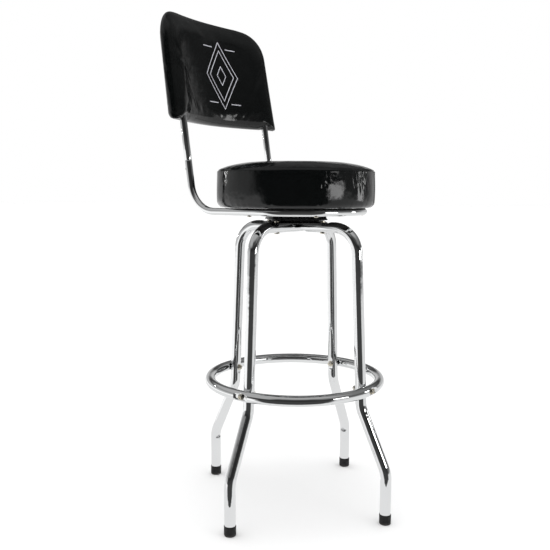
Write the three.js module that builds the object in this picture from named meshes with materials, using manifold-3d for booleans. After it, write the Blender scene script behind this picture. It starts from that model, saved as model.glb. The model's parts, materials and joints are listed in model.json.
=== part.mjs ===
// A chrome swivel bar stool with a padded back: two crossed leg frames of bent tube, a foot ring,
// a ball-bearing swivel, a round padded seat on a tube hoop, and a curved padded back on two posts.
//
// Millimetres, +Z up. The origin is on the floor under the middle of the stool's bounding box.
// The sitter faces -Y and the sitter's left is +X.

import * as THREE from "three";
import { mergeVertices } from "three/addons/utils/BufferGeometryUtils.js";
import Module from "manifold-3d";

const wasm = await Module();
wasm.setup();

// ---------------------------------------------------------------- driving dimensions

const GAP = 0.3; // between pieces that touch

// Radii of the holes that fasteners and posts pass through, and how far a drill reaches past them
const HOLE = { bolt: 3.6, nutThread: 3.5, screw: 2.7, lockScrew: 2.2, post: 8.8 };
const REACH = 20;

// How many flats stand for a full turn
const FACETS = {
  bar: 8,
  leg: 10,
  legBore: 6,
  ring: 8,
  ringBore: 6,
  ringTurn: 44,
  cap: 10,
  postHole: 12,
  boss: 16,
  race: 20,
};

// Leg frames: one tube each, running down one leg, across under the seat and down the other leg
const LEG = {
  radius: 12.25,
  wall: 1.2,
  topHeight: 649, // centre line where the tube runs level under the seat
  footReach: 243, // from the swivel axis to a foot's centre
  kneeHeight: 252.5, // where the leg starts to spread outwards
  ankleHeight: 114.5, // where it turns back to vertical
  ringReach: 176.4, // from the swivel axis to the leg's centre line at the foot ring
  splay: 0.0467, // how far the upper leg leans out per millimetre down
  topBend: 58,
  lowerBend: 60,
  plateHeight: 657, // top of the flat pressed under the swivel plate
  lapHeight: 646.9, // where the upper frame's flat meets the lower frame's
};
const FLAT = { seatEnd: 86, seatRamp: 96, lapEnd: 18, lapRamp: 36 }; // distances from the axis

const CAP = { radius: 13.8, bore: 12.65, height: 22.4, floor: 5 };

const RING = {
  reach: 197.6,
  radius: 11.8,
  wall: 1.2,
  height: 293.6,
  dimple: 2.4,
  flat: 10, // half the length of the flat against a leg
  ramp: 5, // from the flat to the round tube
  crowding: 0.175, // how far the ring's stations are drawn towards the legs, in radians
};
const RING_SEAT = LEG.ringReach + LEG.radius + 0.45; // inner face of the ring where a leg touches it
const RING_BOLT = { shank: 3, head: 6.5, headHeight: 3, nut: 5.6, nutHeight: 5, past: 2 };

// Swivel: a base plate with a raised boss, a ring of balls, an upper race and a pressed pan
const PLATE = { side: 127, corner: 12, thickness: 2.5, boltReach: 74 };
const PLATE_BOTTOM = LEG.plateHeight + GAP;
const PLATE_TOP = PLATE_BOTTOM + PLATE.thickness;
const PLATE_BOLT = { shank: 3, head: 6.5, headHeight: 3, nut: 5.6, nutHeight: 3.2, past: 0.8 };
const BOSS = { foot: 57, top: 51, flange: 62, height: 676, wall: 2.5, grooveTop: 7, grooveFloor: 4 };
const BALL = { count: 12, radius: 4.75, pitch: 40, height: 679, cageInner: 34, cageOuter: 46, cage: 1.6 };
const GROOVE = { radius: 5.6, spread: 0.84, play: 0.2 }; // the arc that the balls run in, and its half angle
const RACE = { inner: 33, outer: 47, bottom: 682 };
const PAN = {
  diagonal: 87.5,
  topDiagonal: 77.5,
  corner: 12,
  bottom: 665,
  top: 693.6,
  wall: 3,
  wallAcross: 4,
};
const PIVOT = {
  radius: 6,
  hole: 6.5,
  head: 9,
  headHeight: 4.5,
  nut: 10,
  nutHole: 6.8,
  nutHeight: 6,
  end: 701,
};
const PAN_SCREW = { reach: 60, shank: 2.2, head: 5, headHeight: 2.6, end: 703 };

// Seat
const SEAT = {
  radius: 184,
  bottom: 692.5,
  seam: 773.2,
  crown: 796,
  lowerCorner: [[13, 0], [4, 4], [0, 15]], // in from the side, and up from the bottom
  shoulder: [[5, 5.5], [16, 10.5], [36, 16.5], [75, 21]], // in from the side, and up from the seam
  cover: 1.4,
  lip: 161.5, // radius that the cover is turned in to, under the board
  segments: 28,
};
const SEAT_FOAM = { inset: 2, overBoard: 6 };
const BOARD = { radius: 169, thickness: 12, centreHole: 13 };
const BOARD_BOTTOM = PAN.top + GAP;
const BOARD_TOP = BOARD_BOTTOM + BOARD.thickness;

// Hoop under the seat, and the posts that carry on from its two ends
const LEAN = THREE.MathUtils.degToRad(8.7);
const HOOP = { radius: 8, wall: 1.2, reach: 155, height: 684.1, bend: 67, jointHeight: 797.4 };
const POST_LINE = { behind: 196, height: 850 }; // a point on the line of the posts
const HOOP_SCREW = { shank: 2.2, head: 4.5, headHeight: 2.5, end: 703, frontAngle: 0.7, railReach: 15 };
const POST = { spigot: 6.1, spigotLength: 38, length: 264, swageLow: 3, swageHigh: 5 };
const POST_SCREW = { shank: 1.8, head: 3.6, headHeight: 2, below: 18 };

// Padded back, unrolled: a panel as wide as an arc, bent about an upright line in front of it
const BACK = {
  bend: 392, // radius of the middle layer
  halfWidth: 201, // half the arc length at the bottom
  taper: 0.041, // narrowing per millimetre of height
  bottomHeight: 887,
  height: 259.5,
  thickness: 46,
  cornerWidth: 77,
  cornerHeight: 73,
  cornerPower: 2.45,
  bow: 7.4, // drop of the top edge towards its ends
  edge: 45, // width of the rounding round the face
  bottomEdge: 0.6, // the same along the bottom, as a share of edge
  cover: 1.2,
  postDepth: 10, // how far the posts' centres stand in front of the middle layer
};
const BACK_BOARD = { front: -1, thickness: 9, inset: 14 };
const BACK_FOAM = { skin: 2, backOfFront: -2.2, frontOfRear: 8.8, postGap: 0.5 };
const BACK_SCREW = {
  shank: 2.2,
  head: 4.5,
  headHeight: 0.6,
  pocket: 5.1,
  pocketDepth: 3,
  heights: [50, 130],
};

const DIRECTIONS = { left: 0, rear: 90, right: 180, front: 270 }; // degrees about +Z from +X

// ---------------------------------------------------------------- materials

const material = (color, roughness, metalness) =>
  new THREE.MeshStandardMaterial({ color, roughness, metalness });
const CHROME = material(0xd8dadc, 0.06, 1);
const BLACK_STEEL = material(0x16171a, 0.4, 0.3);
const BEARING_STEEL = material(0x9a9da1, 0.3, 1);
const ZINC = material(0xb9b29a, 0.35, 0.9);
const VINYL = material(0x0b0c0d, 0.12, 0);
const RUBBER = material(0x0d0d0e, 0.75, 0);
const PLYWOOD = material(0xb58d5c, 0.8, 0);
const FOAM = material(0xd9cf9f, 0.95, 0);

// ---------------------------------------------------------------- solid helpers

function signedVolume(geometry) {
  const flat = geometry.index ? geometry.toNonIndexed() : geometry;
  const points = flat.attributes.position;
  const [a, b, c] = [new THREE.Vector3(), new THREE.Vector3(), new THREE.Vector3()];
  let volume = 0;
  for (let i = 0; i < points.count; i += 3) {
    a.fromBufferAttribute(points, i);
    b.fromBufferAttribute(points, i + 1);
    c.fromBufferAttribute(points, i + 2);
    volume += a.dot(b.cross(c)) / 6;
  }
  return volume;
}

// The geometry with shared corners merged and every face pointing out
function closed(geometry) {
  const bare = geometry.clone();
  bare.deleteAttribute("normal");
  bare.deleteAttribute("uv");
  const merged = mergeVertices(bare, 1e-3);
  if (signedVolume(merged) < 0) {
    const corners = merged.index.array;
    for (let i = 0; i < corners.length; i += 3) {
      [corners[i], corners[i + 1]] = [corners[i + 1], corners[i]];
    }
  }
  return merged;
}

function toManifold(geometry) {
  const shell = closed(geometry);
  return new wasm.Manifold(new wasm.Mesh({
    numProp: 3,
    vertProperties: new Float32Array(shell.attributes.position.array),
    triVerts: new Uint32Array(shell.index.array),
  }));
}

function fromManifold(manifold) {
  const mesh = manifold.getMesh();
  const geometry = new THREE.BufferGeometry();
  geometry.setAttribute("position", new THREE.BufferAttribute(mesh.vertProperties, 3));
  geometry.setIndex(new THREE.BufferAttribute(mesh.triVerts, 1));
  return geometry;
}

function cut(body, ...tools) {
  return fromManifold(tools.reduce((rest, tool) => rest.subtract(toManifold(tool)), toManifold(body)));
}

function join(...bodies) {
  const [first, ...others] = bodies.map(toManifold);
  return fromManifold(others.reduce((sum, body) => sum.add(body), first));
}

// Moves every corner of a geometry with move(point), in place
function reshape(geometry, move) {
  const points = geometry.attributes.position;
  const point = new THREE.Vector3();
  for (let i = 0; i < points.count; i += 1) {
    point.fromBufferAttribute(points, i);
    move(point);
    points.setXYZ(i, point.x, point.y, point.z);
  }
  return geometry;
}

// ---------------------------------------------------------------- shape helpers

const clamp = THREE.MathUtils.clamp;
const polar = (radius, angle) => new THREE.Vector2(radius * Math.cos(angle), radius * Math.sin(angle));
const polygon = (radius, sides) =>
  Array.from({ length: sides }, (_, i) => polar(radius, (2 * Math.PI * i) / sides));

// A round bar from z = low to z = high on the Z axis
function bar(radius, low, high, sides = FACETS.bar) {
  return new THREE.CylinderGeometry(radius, radius, high - low, sides)
    .rotateX(Math.PI / 2)
    .translate(0, 0, (low + high) / 2);
}

// A solid of revolution about Z from a profile of [radius, z] points
function turned(profile, segments) {
  const points = profile.map(([radius, z]) => new THREE.Vector2(radius, z));
  return new THREE.LatheGeometry(points, segments).rotateX(Math.PI / 2);
}

// A turned solid whose profile is a loop clear of the axis
const turnedLoop = (profile, segments) => turned([...profile, profile[0]], segments);

// A hexagonal nut with its hole, standing on z = low
function nut(radius, hole, low, height) {
  const outline = new THREE.Shape(polygon(radius, 6));
  outline.holes.push(new THREE.Path(polygon(hole, FACETS.bar).reverse()));
  return new THREE.ExtrudeGeometry(outline, { depth: height, bevelEnabled: false }).translate(0, 0, low);
}

// A bolt or screw on the Z axis: its domed head sits on z = seat and its shank runs down to z = end
function fastener({ shank, head, headHeight }, seat, end) {
  const top = seat + headHeight;
  return turned([
    [0, end],
    [shank, end],
    [shank, seat],
    [head, seat],
    [0.6 * head, top],
    [0, top],
  ], FACETS.bar);
}

// A route through given stations, so that a swept section stands exactly at each of them
class StationPath extends THREE.Curve {
  constructor(stations) {
    super();
    this.stations = stations;
  }

  getPointAt(t, target = new THREE.Vector3()) {
    return target.copy(this.stations[Math.round(t * (this.stations.length - 1))]);
  }

  getTangentAt(t, target = new THREE.Vector3()) {
    const last = this.stations.length - 1;
    const i = Math.round(t * last);
    const [before, after] = [this.stations[Math.max(i - 1, 0)], this.stations[Math.min(i + 1, last)]];
    return target.subVectors(after, before).normalize();
  }
}

// A hollow tube along a list of stations
function tube(stations, radius, wall, sides, boreSides) {
  const section = new THREE.Shape(polygon(radius, sides));
  section.holes.push(new THREE.Path(polygon(radius - wall, boreSides).reverse()));
  return new THREE.ExtrudeGeometry(section, {
    steps: stations.length - 1,
    bevelEnabled: false,
    extrudePath: new StationPath(stations),
  });
}

// The stations of a bend of a given radius at a corner between two straight runs
function bend(before, corner, after, radius, steps) {
  const inward = new THREE.Vector3().subVectors(before, corner).normalize();
  const outward = new THREE.Vector3().subVectors(after, corner).normalize();
  const half = inward.angleTo(outward) / 2;
  const axis = new THREE.Vector3().crossVectors(outward, inward).normalize();
  const centre = inward.clone().add(outward).normalize().multiplyScalar(radius / Math.sin(half)).add(corner);
  const start = inward.clone().multiplyScalar(radius / Math.tan(half)).add(corner).sub(centre);
  return Array.from({ length: steps + 1 }, (_, i) =>
    start.clone().applyAxisAngle(axis, ((2 * half - Math.PI) * -i) / steps).add(centre));
}

function roundedSquare(side, corner) {
  const inner = side / 2 - corner;
  const outline = new THREE.Shape();
  outline.absarc(inner, inner, corner, 0, Math.PI / 2);
  outline.absarc(-inner, inner, corner, Math.PI / 2, Math.PI);
  outline.absarc(-inner, -inner, corner, Math.PI, 1.5 * Math.PI);
  outline.absarc(inner, -inner, corner, 1.5 * Math.PI, 2 * Math.PI);
  return outline;
}

// ---------------------------------------------------------------- base

// One leg frame in the XZ plane; `upper` says whether it laps over or under the other one
function legFrame(upper) {
  const reachAt = (z) => LEG.ringReach + (RING.height - z) * LEG.splay;
  const corners = [
    new THREE.Vector3(LEG.footReach, 0, CAP.floor + GAP),
    new THREE.Vector3(LEG.footReach, 0, LEG.ankleHeight),
    new THREE.Vector3(reachAt(LEG.kneeHeight), 0, LEG.kneeHeight),
    new THREE.Vector3(reachAt(LEG.topHeight), 0, LEG.topHeight),
    new THREE.Vector3(0, 0, LEG.topHeight),
  ];
  const flats = [FLAT.seatRamp, FLAT.seatEnd, FLAT.lapRamp, FLAT.lapEnd];
  const half = [
    corners[0],
    ...bend(corners[0], corners[1], corners[2], LEG.lowerBend, 3),
    ...bend(corners[1], corners[2], corners[3], LEG.lowerBend, 3),
    ...bend(corners[2], corners[3], corners[4], LEG.topBend, 5),
    ...flats.map((x) => new THREE.Vector3(x, 0, LEG.topHeight)),
  ];
  const mirrored = half.map((p) => new THREE.Vector3(-p.x, p.y, p.z)).reverse();
  const frame = tube([...half, ...mirrored], LEG.radius, LEG.wall, FACETS.leg, FACETS.legBore);
  reshape(frame, (p) => pressFlat(p, upper));

  const plateHoles = [-1, 1].map((side) =>
    bar(HOLE.bolt, LEG.topHeight - REACH, LEG.topHeight + REACH).translate(side * PLATE.boltReach, 0, 0));
  const ringHoles = [-1, 1].map((side) =>
    bar(HOLE.bolt, -REACH, REACH).rotateY(Math.PI / 2).translate(side * LEG.ringReach, 0, RING.height));
  return cut(frame, ...plateHoles, ...ringHoles);
}

// Presses the level part of a leg frame: flat on top for the swivel plate, and to half its height
// where the two frames lap
function pressFlat(p, upper) {
  const reach = Math.abs(p.x);
  if (reach > FLAT.seatRamp - 1 || p.z < LEG.topHeight - LEG.radius - 1) {
    return;
  }
  const outside = Math.hypot(p.y, p.z - LEG.topHeight) > LEG.radius - LEG.wall / 2;
  const inset = outside ? 0 : LEG.wall;
  const lapped = reach <= FLAT.lapEnd + 1;
  const ceiling = lapped && !upper ? LEG.lapHeight - GAP / 2 : LEG.plateHeight;
  const floor = lapped && upper ? LEG.lapHeight + GAP / 2 : -Infinity;
  p.z = clamp(p.z, floor + inset, ceiling - inset);
}

// The foot ring, pressed flat on its inside against each leg and dimpled outside for each bolt head
function footRing() {
  const shell = (radius, sides) => {
    const seatDepth = RING_SEAT - (RING.reach - RING.radius);
    return reshape(new THREE.TorusGeometry(RING.reach, radius, sides, FACETS.ringTurn), (p) => {
      const even = Math.atan2(p.y, p.x);
      const angle = even - RING.crowding * Math.sin(4 * even);
      const fromJoint = RING.reach * Math.abs(angle - (Math.PI / 2) * Math.round(angle / (Math.PI / 2)));
      const pressed = clamp((RING.flat + RING.ramp - fromJoint) / RING.ramp, 0, 1);
      const offset = clamp(
        Math.hypot(p.x, p.y) - RING.reach,
        seatDepth * pressed - radius,
        radius - RING.dimple * pressed,
      );
      p.set((RING.reach + offset) * Math.cos(angle), (RING.reach + offset) * Math.sin(angle), p.z);
    });
  };
  const holes = Object.values(DIRECTIONS).map((degrees) =>
    bar(HOLE.bolt, RING.reach - REACH, RING.reach + REACH)
      .rotateY(Math.PI / 2)
      .rotateZ(THREE.MathUtils.degToRad(degrees)));
  return cut(shell(RING.radius, FACETS.ring), shell(RING.radius - RING.wall, FACETS.ringBore), ...holes);
}

function footCap() {
  return turned([
    [0, 0],
    [CAP.radius - 0.8, 0],
    [CAP.radius, 0.8],
    [CAP.radius, CAP.height - 1],
    [CAP.radius - 0.4, CAP.height],
    [CAP.bore, CAP.height],
    [CAP.bore, CAP.floor],
    [0, CAP.floor],
  ], FACETS.cap);
}

// Bolts and nuts that lie along +X, through the foot ring and a leg
const ringBoltSeat = RING.reach + RING.radius - RING.dimple + GAP;
const legInside = LEG.ringReach - LEG.radius - GAP;

function ringBolt() {
  const end = legInside - RING_BOLT.nutHeight - RING_BOLT.past;
  return fastener(RING_BOLT, ringBoltSeat, end).rotateY(Math.PI / 2);
}

function ringNut() {
  return nut(RING_BOLT.nut, HOLE.nutThread, legInside - RING_BOLT.nutHeight, RING_BOLT.nutHeight)
    .rotateY(Math.PI / 2);
}

// ---------------------------------------------------------------- swivel

// The ball groove's points, from low to high radius; the arc opens up or down
function groove(centreHeight, upwards) {
  const middle = upwards ? -Math.PI / 2 : Math.PI / 2;
  const spread = upwards ? GROOVE.spread : -GROOVE.spread;
  return [-1, 0, 1].map((share) => {
    const point = polar(GROOVE.radius, middle + share * spread);
    return [BALL.pitch + point.x, centreHeight + point.y];
  });
}

function swivelBasePlate() {
  const outline = roundedSquare(PLATE.side, PLATE.corner);
  outline.holes.push(new THREE.Path(polygon(BOSS.foot + 2, FACETS.boss).reverse()));
  const plate = new THREE.ExtrudeGeometry(outline, {
    depth: PLATE.thickness,
    bevelEnabled: false,
    curveSegments: 3,
  }).rotateZ(Math.PI / 4).translate(0, 0, PLATE_BOTTOM);
  const grooveHeight = BALL.height + GROOVE.play;
  const underGroove = grooveHeight - GROOVE.radius - BOSS.wall;
  const boss = turnedLoop([
    [BOSS.flange, PLATE_TOP],
    [BOSS.foot, PLATE_TOP],
    [BOSS.top, BOSS.height],
    ...groove(grooveHeight, true).reverse(),
    [PIVOT.hole, BOSS.height],
    [PIVOT.hole, BOSS.height - BOSS.wall],
    [BALL.pitch - BOSS.grooveTop, BOSS.height - BOSS.wall],
    [BALL.pitch - BOSS.grooveFloor, underGroove],
    [BALL.pitch + BOSS.grooveFloor, underGroove],
    [BOSS.top - BOSS.wall, BOSS.height - BOSS.wall],
    [BOSS.foot - BOSS.wall, PLATE_BOTTOM],
    [BOSS.flange, PLATE_BOTTOM],
  ], FACETS.boss);
  const holes = Object.values(DIRECTIONS).map((degrees) =>
    bar(HOLE.bolt, PLATE_BOTTOM - REACH, PLATE_TOP + REACH)
      .translate(PLATE.boltReach, 0, 0)
      .rotateZ(THREE.MathUtils.degToRad(degrees)));
  return cut(join(plate, boss), ...holes);
}

// The bolts come up from under the legs, and thin nuts on the plate stay clear of the turning pan
function plateBolt() {
  const end = PLATE_TOP + GAP + PLATE_BOLT.nutHeight + PLATE_BOLT.past;
  return fastener(PLATE_BOLT, GAP + LEG.radius - LEG.topHeight, -end)
    .rotateX(Math.PI)
    .translate(PLATE.boltReach, 0, 0);
}

const plateNut = () =>
  nut(PLATE_BOLT.nut, HOLE.nutThread, PLATE_TOP + GAP, PLATE_BOLT.nutHeight).translate(PLATE.boltReach, 0, 0);

// The balls in their cage
function ballRing() {
  const cage = turnedLoop([
    [BALL.cageInner, BALL.height - BALL.cage / 2],
    [BALL.cageOuter, BALL.height - BALL.cage / 2],
    [BALL.cageOuter, BALL.height + BALL.cage / 2],
    [BALL.cageInner, BALL.height + BALL.cage / 2],
  ], FACETS.race);
  const balls = Array.from({ length: BALL.count }, (_, i) =>
    new THREE.SphereGeometry(BALL.radius, 6, 4)
      .rotateX(Math.PI / 2)
      .translate(BALL.pitch, 0, BALL.height)
      .rotateZ((2 * Math.PI * i) / BALL.count));
  return join(cage, ...balls);
}

function upperRace() {
  return turnedLoop([
    [RACE.inner, RACE.bottom],
    ...groove(BALL.height - GROOVE.play, false),
    [RACE.outer, RACE.bottom],
    [RACE.outer, PAN.top - PAN.wall - GAP],
    [RACE.inner, PAN.top - PAN.wall - GAP],
  ], FACETS.race);
}

// A block with a rounded square plan that narrows upwards
function taperedBlock(diagonal, topDiagonal, low, high) {
  const corner = PAN.corner;
  const block = new THREE.ExtrudeGeometry(roundedSquare(diagonal * Math.SQRT2, corner), {
    depth: high - low,
    bevelEnabled: false,
    curveSegments: 3,
  });
  return reshape(block, (p) => {
    const scale = 1 + (topDiagonal / diagonal - 1) * (p.z / (high - low));
    p.set(p.x * scale, p.y * scale, p.z + low);
  }).rotateZ(Math.PI / 4);
}

function swivelPan() {
  const { diagonal, topDiagonal, bottom, top, wall, wallAcross } = PAN;
  const outside = taperedBlock(diagonal, topDiagonal, bottom, top);
  const inside = taperedBlock(diagonal - wallAcross, topDiagonal - wallAcross, bottom - 1, top - wall);
  const pivotHole = bar(PIVOT.hole, top - REACH, top + REACH, FACETS.boss);
  const screwHoles = Object.values(DIRECTIONS).map((degrees) =>
    bar(HOLE.screw, top - REACH, top + REACH)
      .translate(PAN_SCREW.reach, 0, 0)
      .rotateZ(THREE.MathUtils.degToRad(degrees)));
  return cut(outside, inside, pivotHole, ...screwHoles);
}

function pivotBolt() {
  const seat = BOSS.height - BOSS.wall - GAP;
  const head = new THREE.ExtrudeGeometry(new THREE.Shape(polygon(PIVOT.head, 6)), {
    depth: PIVOT.headHeight,
    bevelEnabled: false,
  }).translate(0, 0, seat - PIVOT.headHeight);
  return join(head, bar(PIVOT.radius, seat - 1, PIVOT.end, FACETS.boss));
}

const pivotNut = () => nut(PIVOT.nut, PIVOT.nutHole, PAN.top + 2 * GAP, PIVOT.nutHeight);

// A screw that drives upwards: its head hangs below z = seat
const risingScrew = (kind, seat) => fastener(kind, -seat, -kind.end).rotateX(Math.PI);

const panScrew = () => risingScrew(PAN_SCREW, PAN.top - PAN.wall - GAP).translate(PAN_SCREW.reach, 0, 0);

// ---------------------------------------------------------------- seat

// Where the four screws pass through the hoop into the seat board
const hoopScrewPlaces = {
  front_left: new THREE.Vector2(Math.sin(HOOP_SCREW.frontAngle), -Math.cos(HOOP_SCREW.frontAngle))
    .multiplyScalar(HOOP.reach),
  front_right: new THREE.Vector2(-Math.sin(HOOP_SCREW.frontAngle), -Math.cos(HOOP_SCREW.frontAngle))
    .multiplyScalar(HOOP.reach),
  rear_left: new THREE.Vector2(HOOP.reach, HOOP_SCREW.railReach),
  rear_right: new THREE.Vector2(-HOOP.reach, HOOP_SCREW.railReach),
};

function seatBoard() {
  const board = new THREE.CylinderGeometry(BOARD.radius, BOARD.radius, BOARD.thickness, SEAT.segments)
    .rotateX(Math.PI / 2)
    .translate(0, 0, (BOARD_BOTTOM + BOARD_TOP) / 2);
  const drill = (radius, sides) => bar(radius, BOARD_BOTTOM - REACH, BOARD_TOP + REACH, sides);
  const hoopHoles = Object.values(hoopScrewPlaces).map(({ x, y }) => drill(HOLE.screw).translate(x, y, 0));
  const panHoles = Object.values(DIRECTIONS).map((degrees) =>
    drill(HOLE.screw).translate(PAN_SCREW.reach, 0, 0).rotateZ(THREE.MathUtils.degToRad(degrees)));
  const centreHole = drill(BOARD.centreHole, FACETS.race);
  return cut(board, centreHole, ...hoopHoles, ...panHoles);
}

// The side and top of the upholstery, from its bottom edge to its centre, drawn in by `inset`
function seatSkin(inset) {
  const radius = SEAT.radius - inset;
  return [
    ...SEAT.lowerCorner.map(([inward, up]) => [radius - inward, SEAT.bottom + inset + up]),
    [radius, SEAT.seam - inset],
    ...SEAT.shoulder.map(([inward, up]) => [radius - inward, SEAT.seam - inset + up]),
    [0, SEAT.crown - inset],
  ];
}

function seatCover() {
  const inner = seatSkin(SEAT.cover);
  return turned([
    ...seatSkin(0).reverse(),
    [SEAT.lip, SEAT.bottom],
    [SEAT.lip, BOARD_BOTTOM - GAP],
    [inner[0][0], BOARD_BOTTOM - GAP],
    ...inner.slice(1),
  ], SEAT.segments);
}

function seatFoam() {
  const skin = seatSkin(SEAT_FOAM.inset).filter(([, z]) => z > BOARD_TOP + SEAT_FOAM.overBoard);
  return turned([[0, BOARD_TOP + GAP], [BOARD.radius, BOARD_TOP + GAP], ...skin], SEAT.segments);
}

// ---------------------------------------------------------------- hoop and posts

const behindAt = (z) => POST_LINE.behind + (z - POST_LINE.height) * Math.tan(LEAN);

function hoopStations() {
  const { reach, height, jointHeight } = HOOP;
  const end = new THREE.Vector3(reach, behindAt(jointHeight), jointHeight);
  const corner = new THREE.Vector3(reach, behindAt(height), height);
  const front = new THREE.Vector3(reach, 0, height);
  const steps = 14;
  const arc = Array.from({ length: steps / 2 + 1 }, (_, i) => {
    const angle = (Math.PI * i) / steps;
    return new THREE.Vector3(reach * Math.cos(angle), -reach * Math.sin(angle), height);
  });
  const half = [end, ...bend(end, corner, front, HOOP.bend, 5), ...arc];
  const mirrored = half.slice(0, -1).map((p) => new THREE.Vector3(-p.x, p.y, p.z)).reverse();
  return [...half, ...mirrored];
}

// The frame that the posts and the padded back are built in: its Z leans back with the posts, its X is
// the stool's X, and its origin is between the posts at the bottom of the padding
const backFrame = new THREE.Matrix4()
  .makeRotationX(-LEAN)
  .setPosition(0, behindAt(BACK.bottomHeight), BACK.bottomHeight);
const jointZ = (HOOP.jointHeight - BACK.bottomHeight) / Math.cos(LEAN);

function seatHoop() {
  const hoop = tube(hoopStations(), HOOP.radius, HOOP.wall, FACETS.bar, FACETS.bar);
  const screwHoles = Object.values(hoopScrewPlaces).map((place) =>
    bar(HOLE.screw, HOOP.height - REACH, HOOP.height + REACH).translate(place.x, place.y, 0));
  const postHoles = [-1, 1].map((side) =>
    postScrewHole().translate(side * HOOP.reach, 0, 0).applyMatrix4(backFrame));
  return cut(hoop, ...screwHoles, ...postHoles);
}

const hoopScrew = () => risingScrew(HOOP_SCREW, HOOP.height - HOOP.radius - GAP);

// A post in the back frame, on x = 0: a spigot inside the hoop's end, then the full tube
function backPost() {
  const bore = POST.spigot - HOOP.wall;
  const wide = HOOP.radius - HOOP.wall;
  return turnedLoop([
    [bore, jointZ - POST.spigotLength],
    [POST.spigot, jointZ - POST.spigotLength],
    [POST.spigot, jointZ + GAP],
    [HOOP.radius, jointZ + GAP],
    [HOOP.radius, jointZ + POST.length],
    [wide, jointZ + POST.length],
    [wide, jointZ + POST.swageHigh],
    [bore, jointZ + POST.swageLow],
  ], FACETS.bar);
}

const postScrewHole = () =>
  bar(HOLE.lockScrew, 0, REACH).rotateX(-Math.PI / 2).translate(0, 0, jointZ - POST_SCREW.below);

const postScrew = () =>
  fastener(POST_SCREW, HOOP.radius + GAP, 1)
    .rotateX(-Math.PI / 2)
    .translate(0, 0, jointZ - POST_SCREW.below);

// ---------------------------------------------------------------- padded back

// The bend's centre line stands in front of the posts, in the back frame
const postBend = BACK.bend - BACK.postDepth;
const bendCentre = -Math.sqrt(postBend ** 2 - HOOP.reach ** 2);
const postAngle = Math.asin(HOOP.reach / postBend);

// Half the panel's width at a height, with its rounded top corners
function halfWidthAt(height) {
  const share = clamp((height - (BACK.height - BACK.cornerHeight)) / BACK.cornerHeight, 0, 1);
  const cornerCut = BACK.cornerWidth * (1 - (1 - share ** BACK.cornerPower) ** (1 / BACK.cornerPower));
  return BACK.halfWidth - BACK.taper * height - cornerCut;
}

// A layer of the padding between two depths (negative is in front of the middle layer). It lies `skin`
// inside the padding's surface, and its outline is drawn in by `inset` more.
function padLayer(front, rear, skin, inset = 0) {
  const [columns, rows, straight] = [12, 7, 3];
  const corner = BACK.cornerHeight / BACK.height;
  // The rounding round the faces, as chords between these depths
  const slopes = [-0.5, -0.25, 0, 0.25, 0.5].map((turn) => turn * Math.PI);
  const chords = slopes.map((slope) => ({
    depth: (BACK.thickness / 2 - skin) * Math.sin(slope),
    rounding: (BACK.edge - skin) * (1 - Math.cos(slope)),
  }));
  const [low, high] = [Math.max(front, chords[0].depth), Math.min(rear, chords[4].depth)];
  const between = chords.map(({ depth }) => depth).filter((depth) => depth > low && depth < high);
  const depths = [low, ...between, high];
  const roundingAt = (depth) => {
    const next = Math.max(1, chords.findIndex((chord) => chord.depth >= depth - 1e-6));
    const [a, b] = [chords[next - 1], chords[next]];
    return THREE.MathUtils.mapLinear(depth, a.depth, b.depth, a.rounding, b.rounding);
  };

  const block = new THREE.BoxGeometry(2, rows, 2, columns, rows, depths.length - 1);
  return reshape(block, (p) => {
    const row = Math.round(p.y + rows / 2);
    const share = row <= straight
      ? ((1 - corner) * row) / straight
      : 1 - corner + corner * Math.sin(((row - straight) / (rows - straight)) * (Math.PI / 2));
    const depth = depths[Math.round(((p.z + 1) / 2) * (depths.length - 1))];
    const rounding = roundingAt(depth);
    const drawIn = skin + inset + rounding;
    const foot = skin + inset + BACK.bottomEdge * rounding;
    const height = foot + share * (BACK.height - drawIn - foot);
    const along = p.x * (halfWidthAt(share * BACK.height) - drawIn);
    const drop = BACK.bow * (along / BACK.halfWidth) ** 2 * share;
    const angle = along / BACK.bend;
    const behind = bendCentre + (BACK.bend + depth) * Math.cos(angle);
    // The lean would lower the middle of the bend, so its edges are cut level instead
    p.set((BACK.bend + depth) * Math.sin(angle), behind, height - drop + behind * Math.tan(LEAN));
  });
}

function backCover() {
  const outside = padLayer(-BACK.thickness, BACK.thickness, 0);
  const inside = padLayer(-BACK.thickness, BACK.thickness, BACK.cover);
  const postHole = (side) => bar(HOLE.post, -REACH, REACH, FACETS.postHole).translate(side * HOOP.reach, 0, 0);
  const postHoles = [-1, 1].map(postHole);
  return cut(outside, inside, ...postHoles);
}

// Both posts as plain bars, a little fat, to clear their way through the foam
const postGrooves = () =>
  [-1, 1].map((side) =>
    bar(HOOP.radius + BACK_FOAM.postGap, -REACH, jointZ + POST.length + 1, FACETS.postHole)
      .translate(side * HOOP.reach, 0, 0));

const frontFoam = () =>
  cut(padLayer(-BACK.thickness, BACK_FOAM.backOfFront, BACK_FOAM.skin), ...postGrooves());

function screwHoles(radius, near, far) {
  return [-1, 1].flatMap((side) =>
    BACK_SCREW.heights.map((height) => placeOnBoard(bar(radius, near, far), side, height)));
}

function rearFoam() {
  const face = BACK_FOAM.frontOfRear;
  const pockets = screwHoles(BACK_SCREW.pocket, face - BACK_SCREW.pocketDepth, face + BACK_SCREW.pocketDepth);
  return cut(padLayer(face, BACK.thickness, BACK_FOAM.skin), ...pockets);
}

// Turns a geometry built along Z (zero at the middle layer) to point out through the board at a post
function placeOnBoard(geometry, side, height) {
  return geometry
    .rotateX(-Math.PI / 2)
    .translate(0, BACK.bend, 0)
    .rotateZ(-side * postAngle)
    .translate(0, bendCentre, height);
}

function backBoard() {
  const { front, thickness, inset } = BACK_BOARD;
  return cut(padLayer(front, front + thickness, 0, inset), ...screwHoles(HOLE.screw, -REACH, REACH));
}

function backScrew(side, height) {
  const seat = BACK_BOARD.front + BACK_BOARD.thickness + GAP;
  return placeOnBoard(fastener(BACK_SCREW, seat, -BACK.postDepth), side, height);
}

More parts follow.
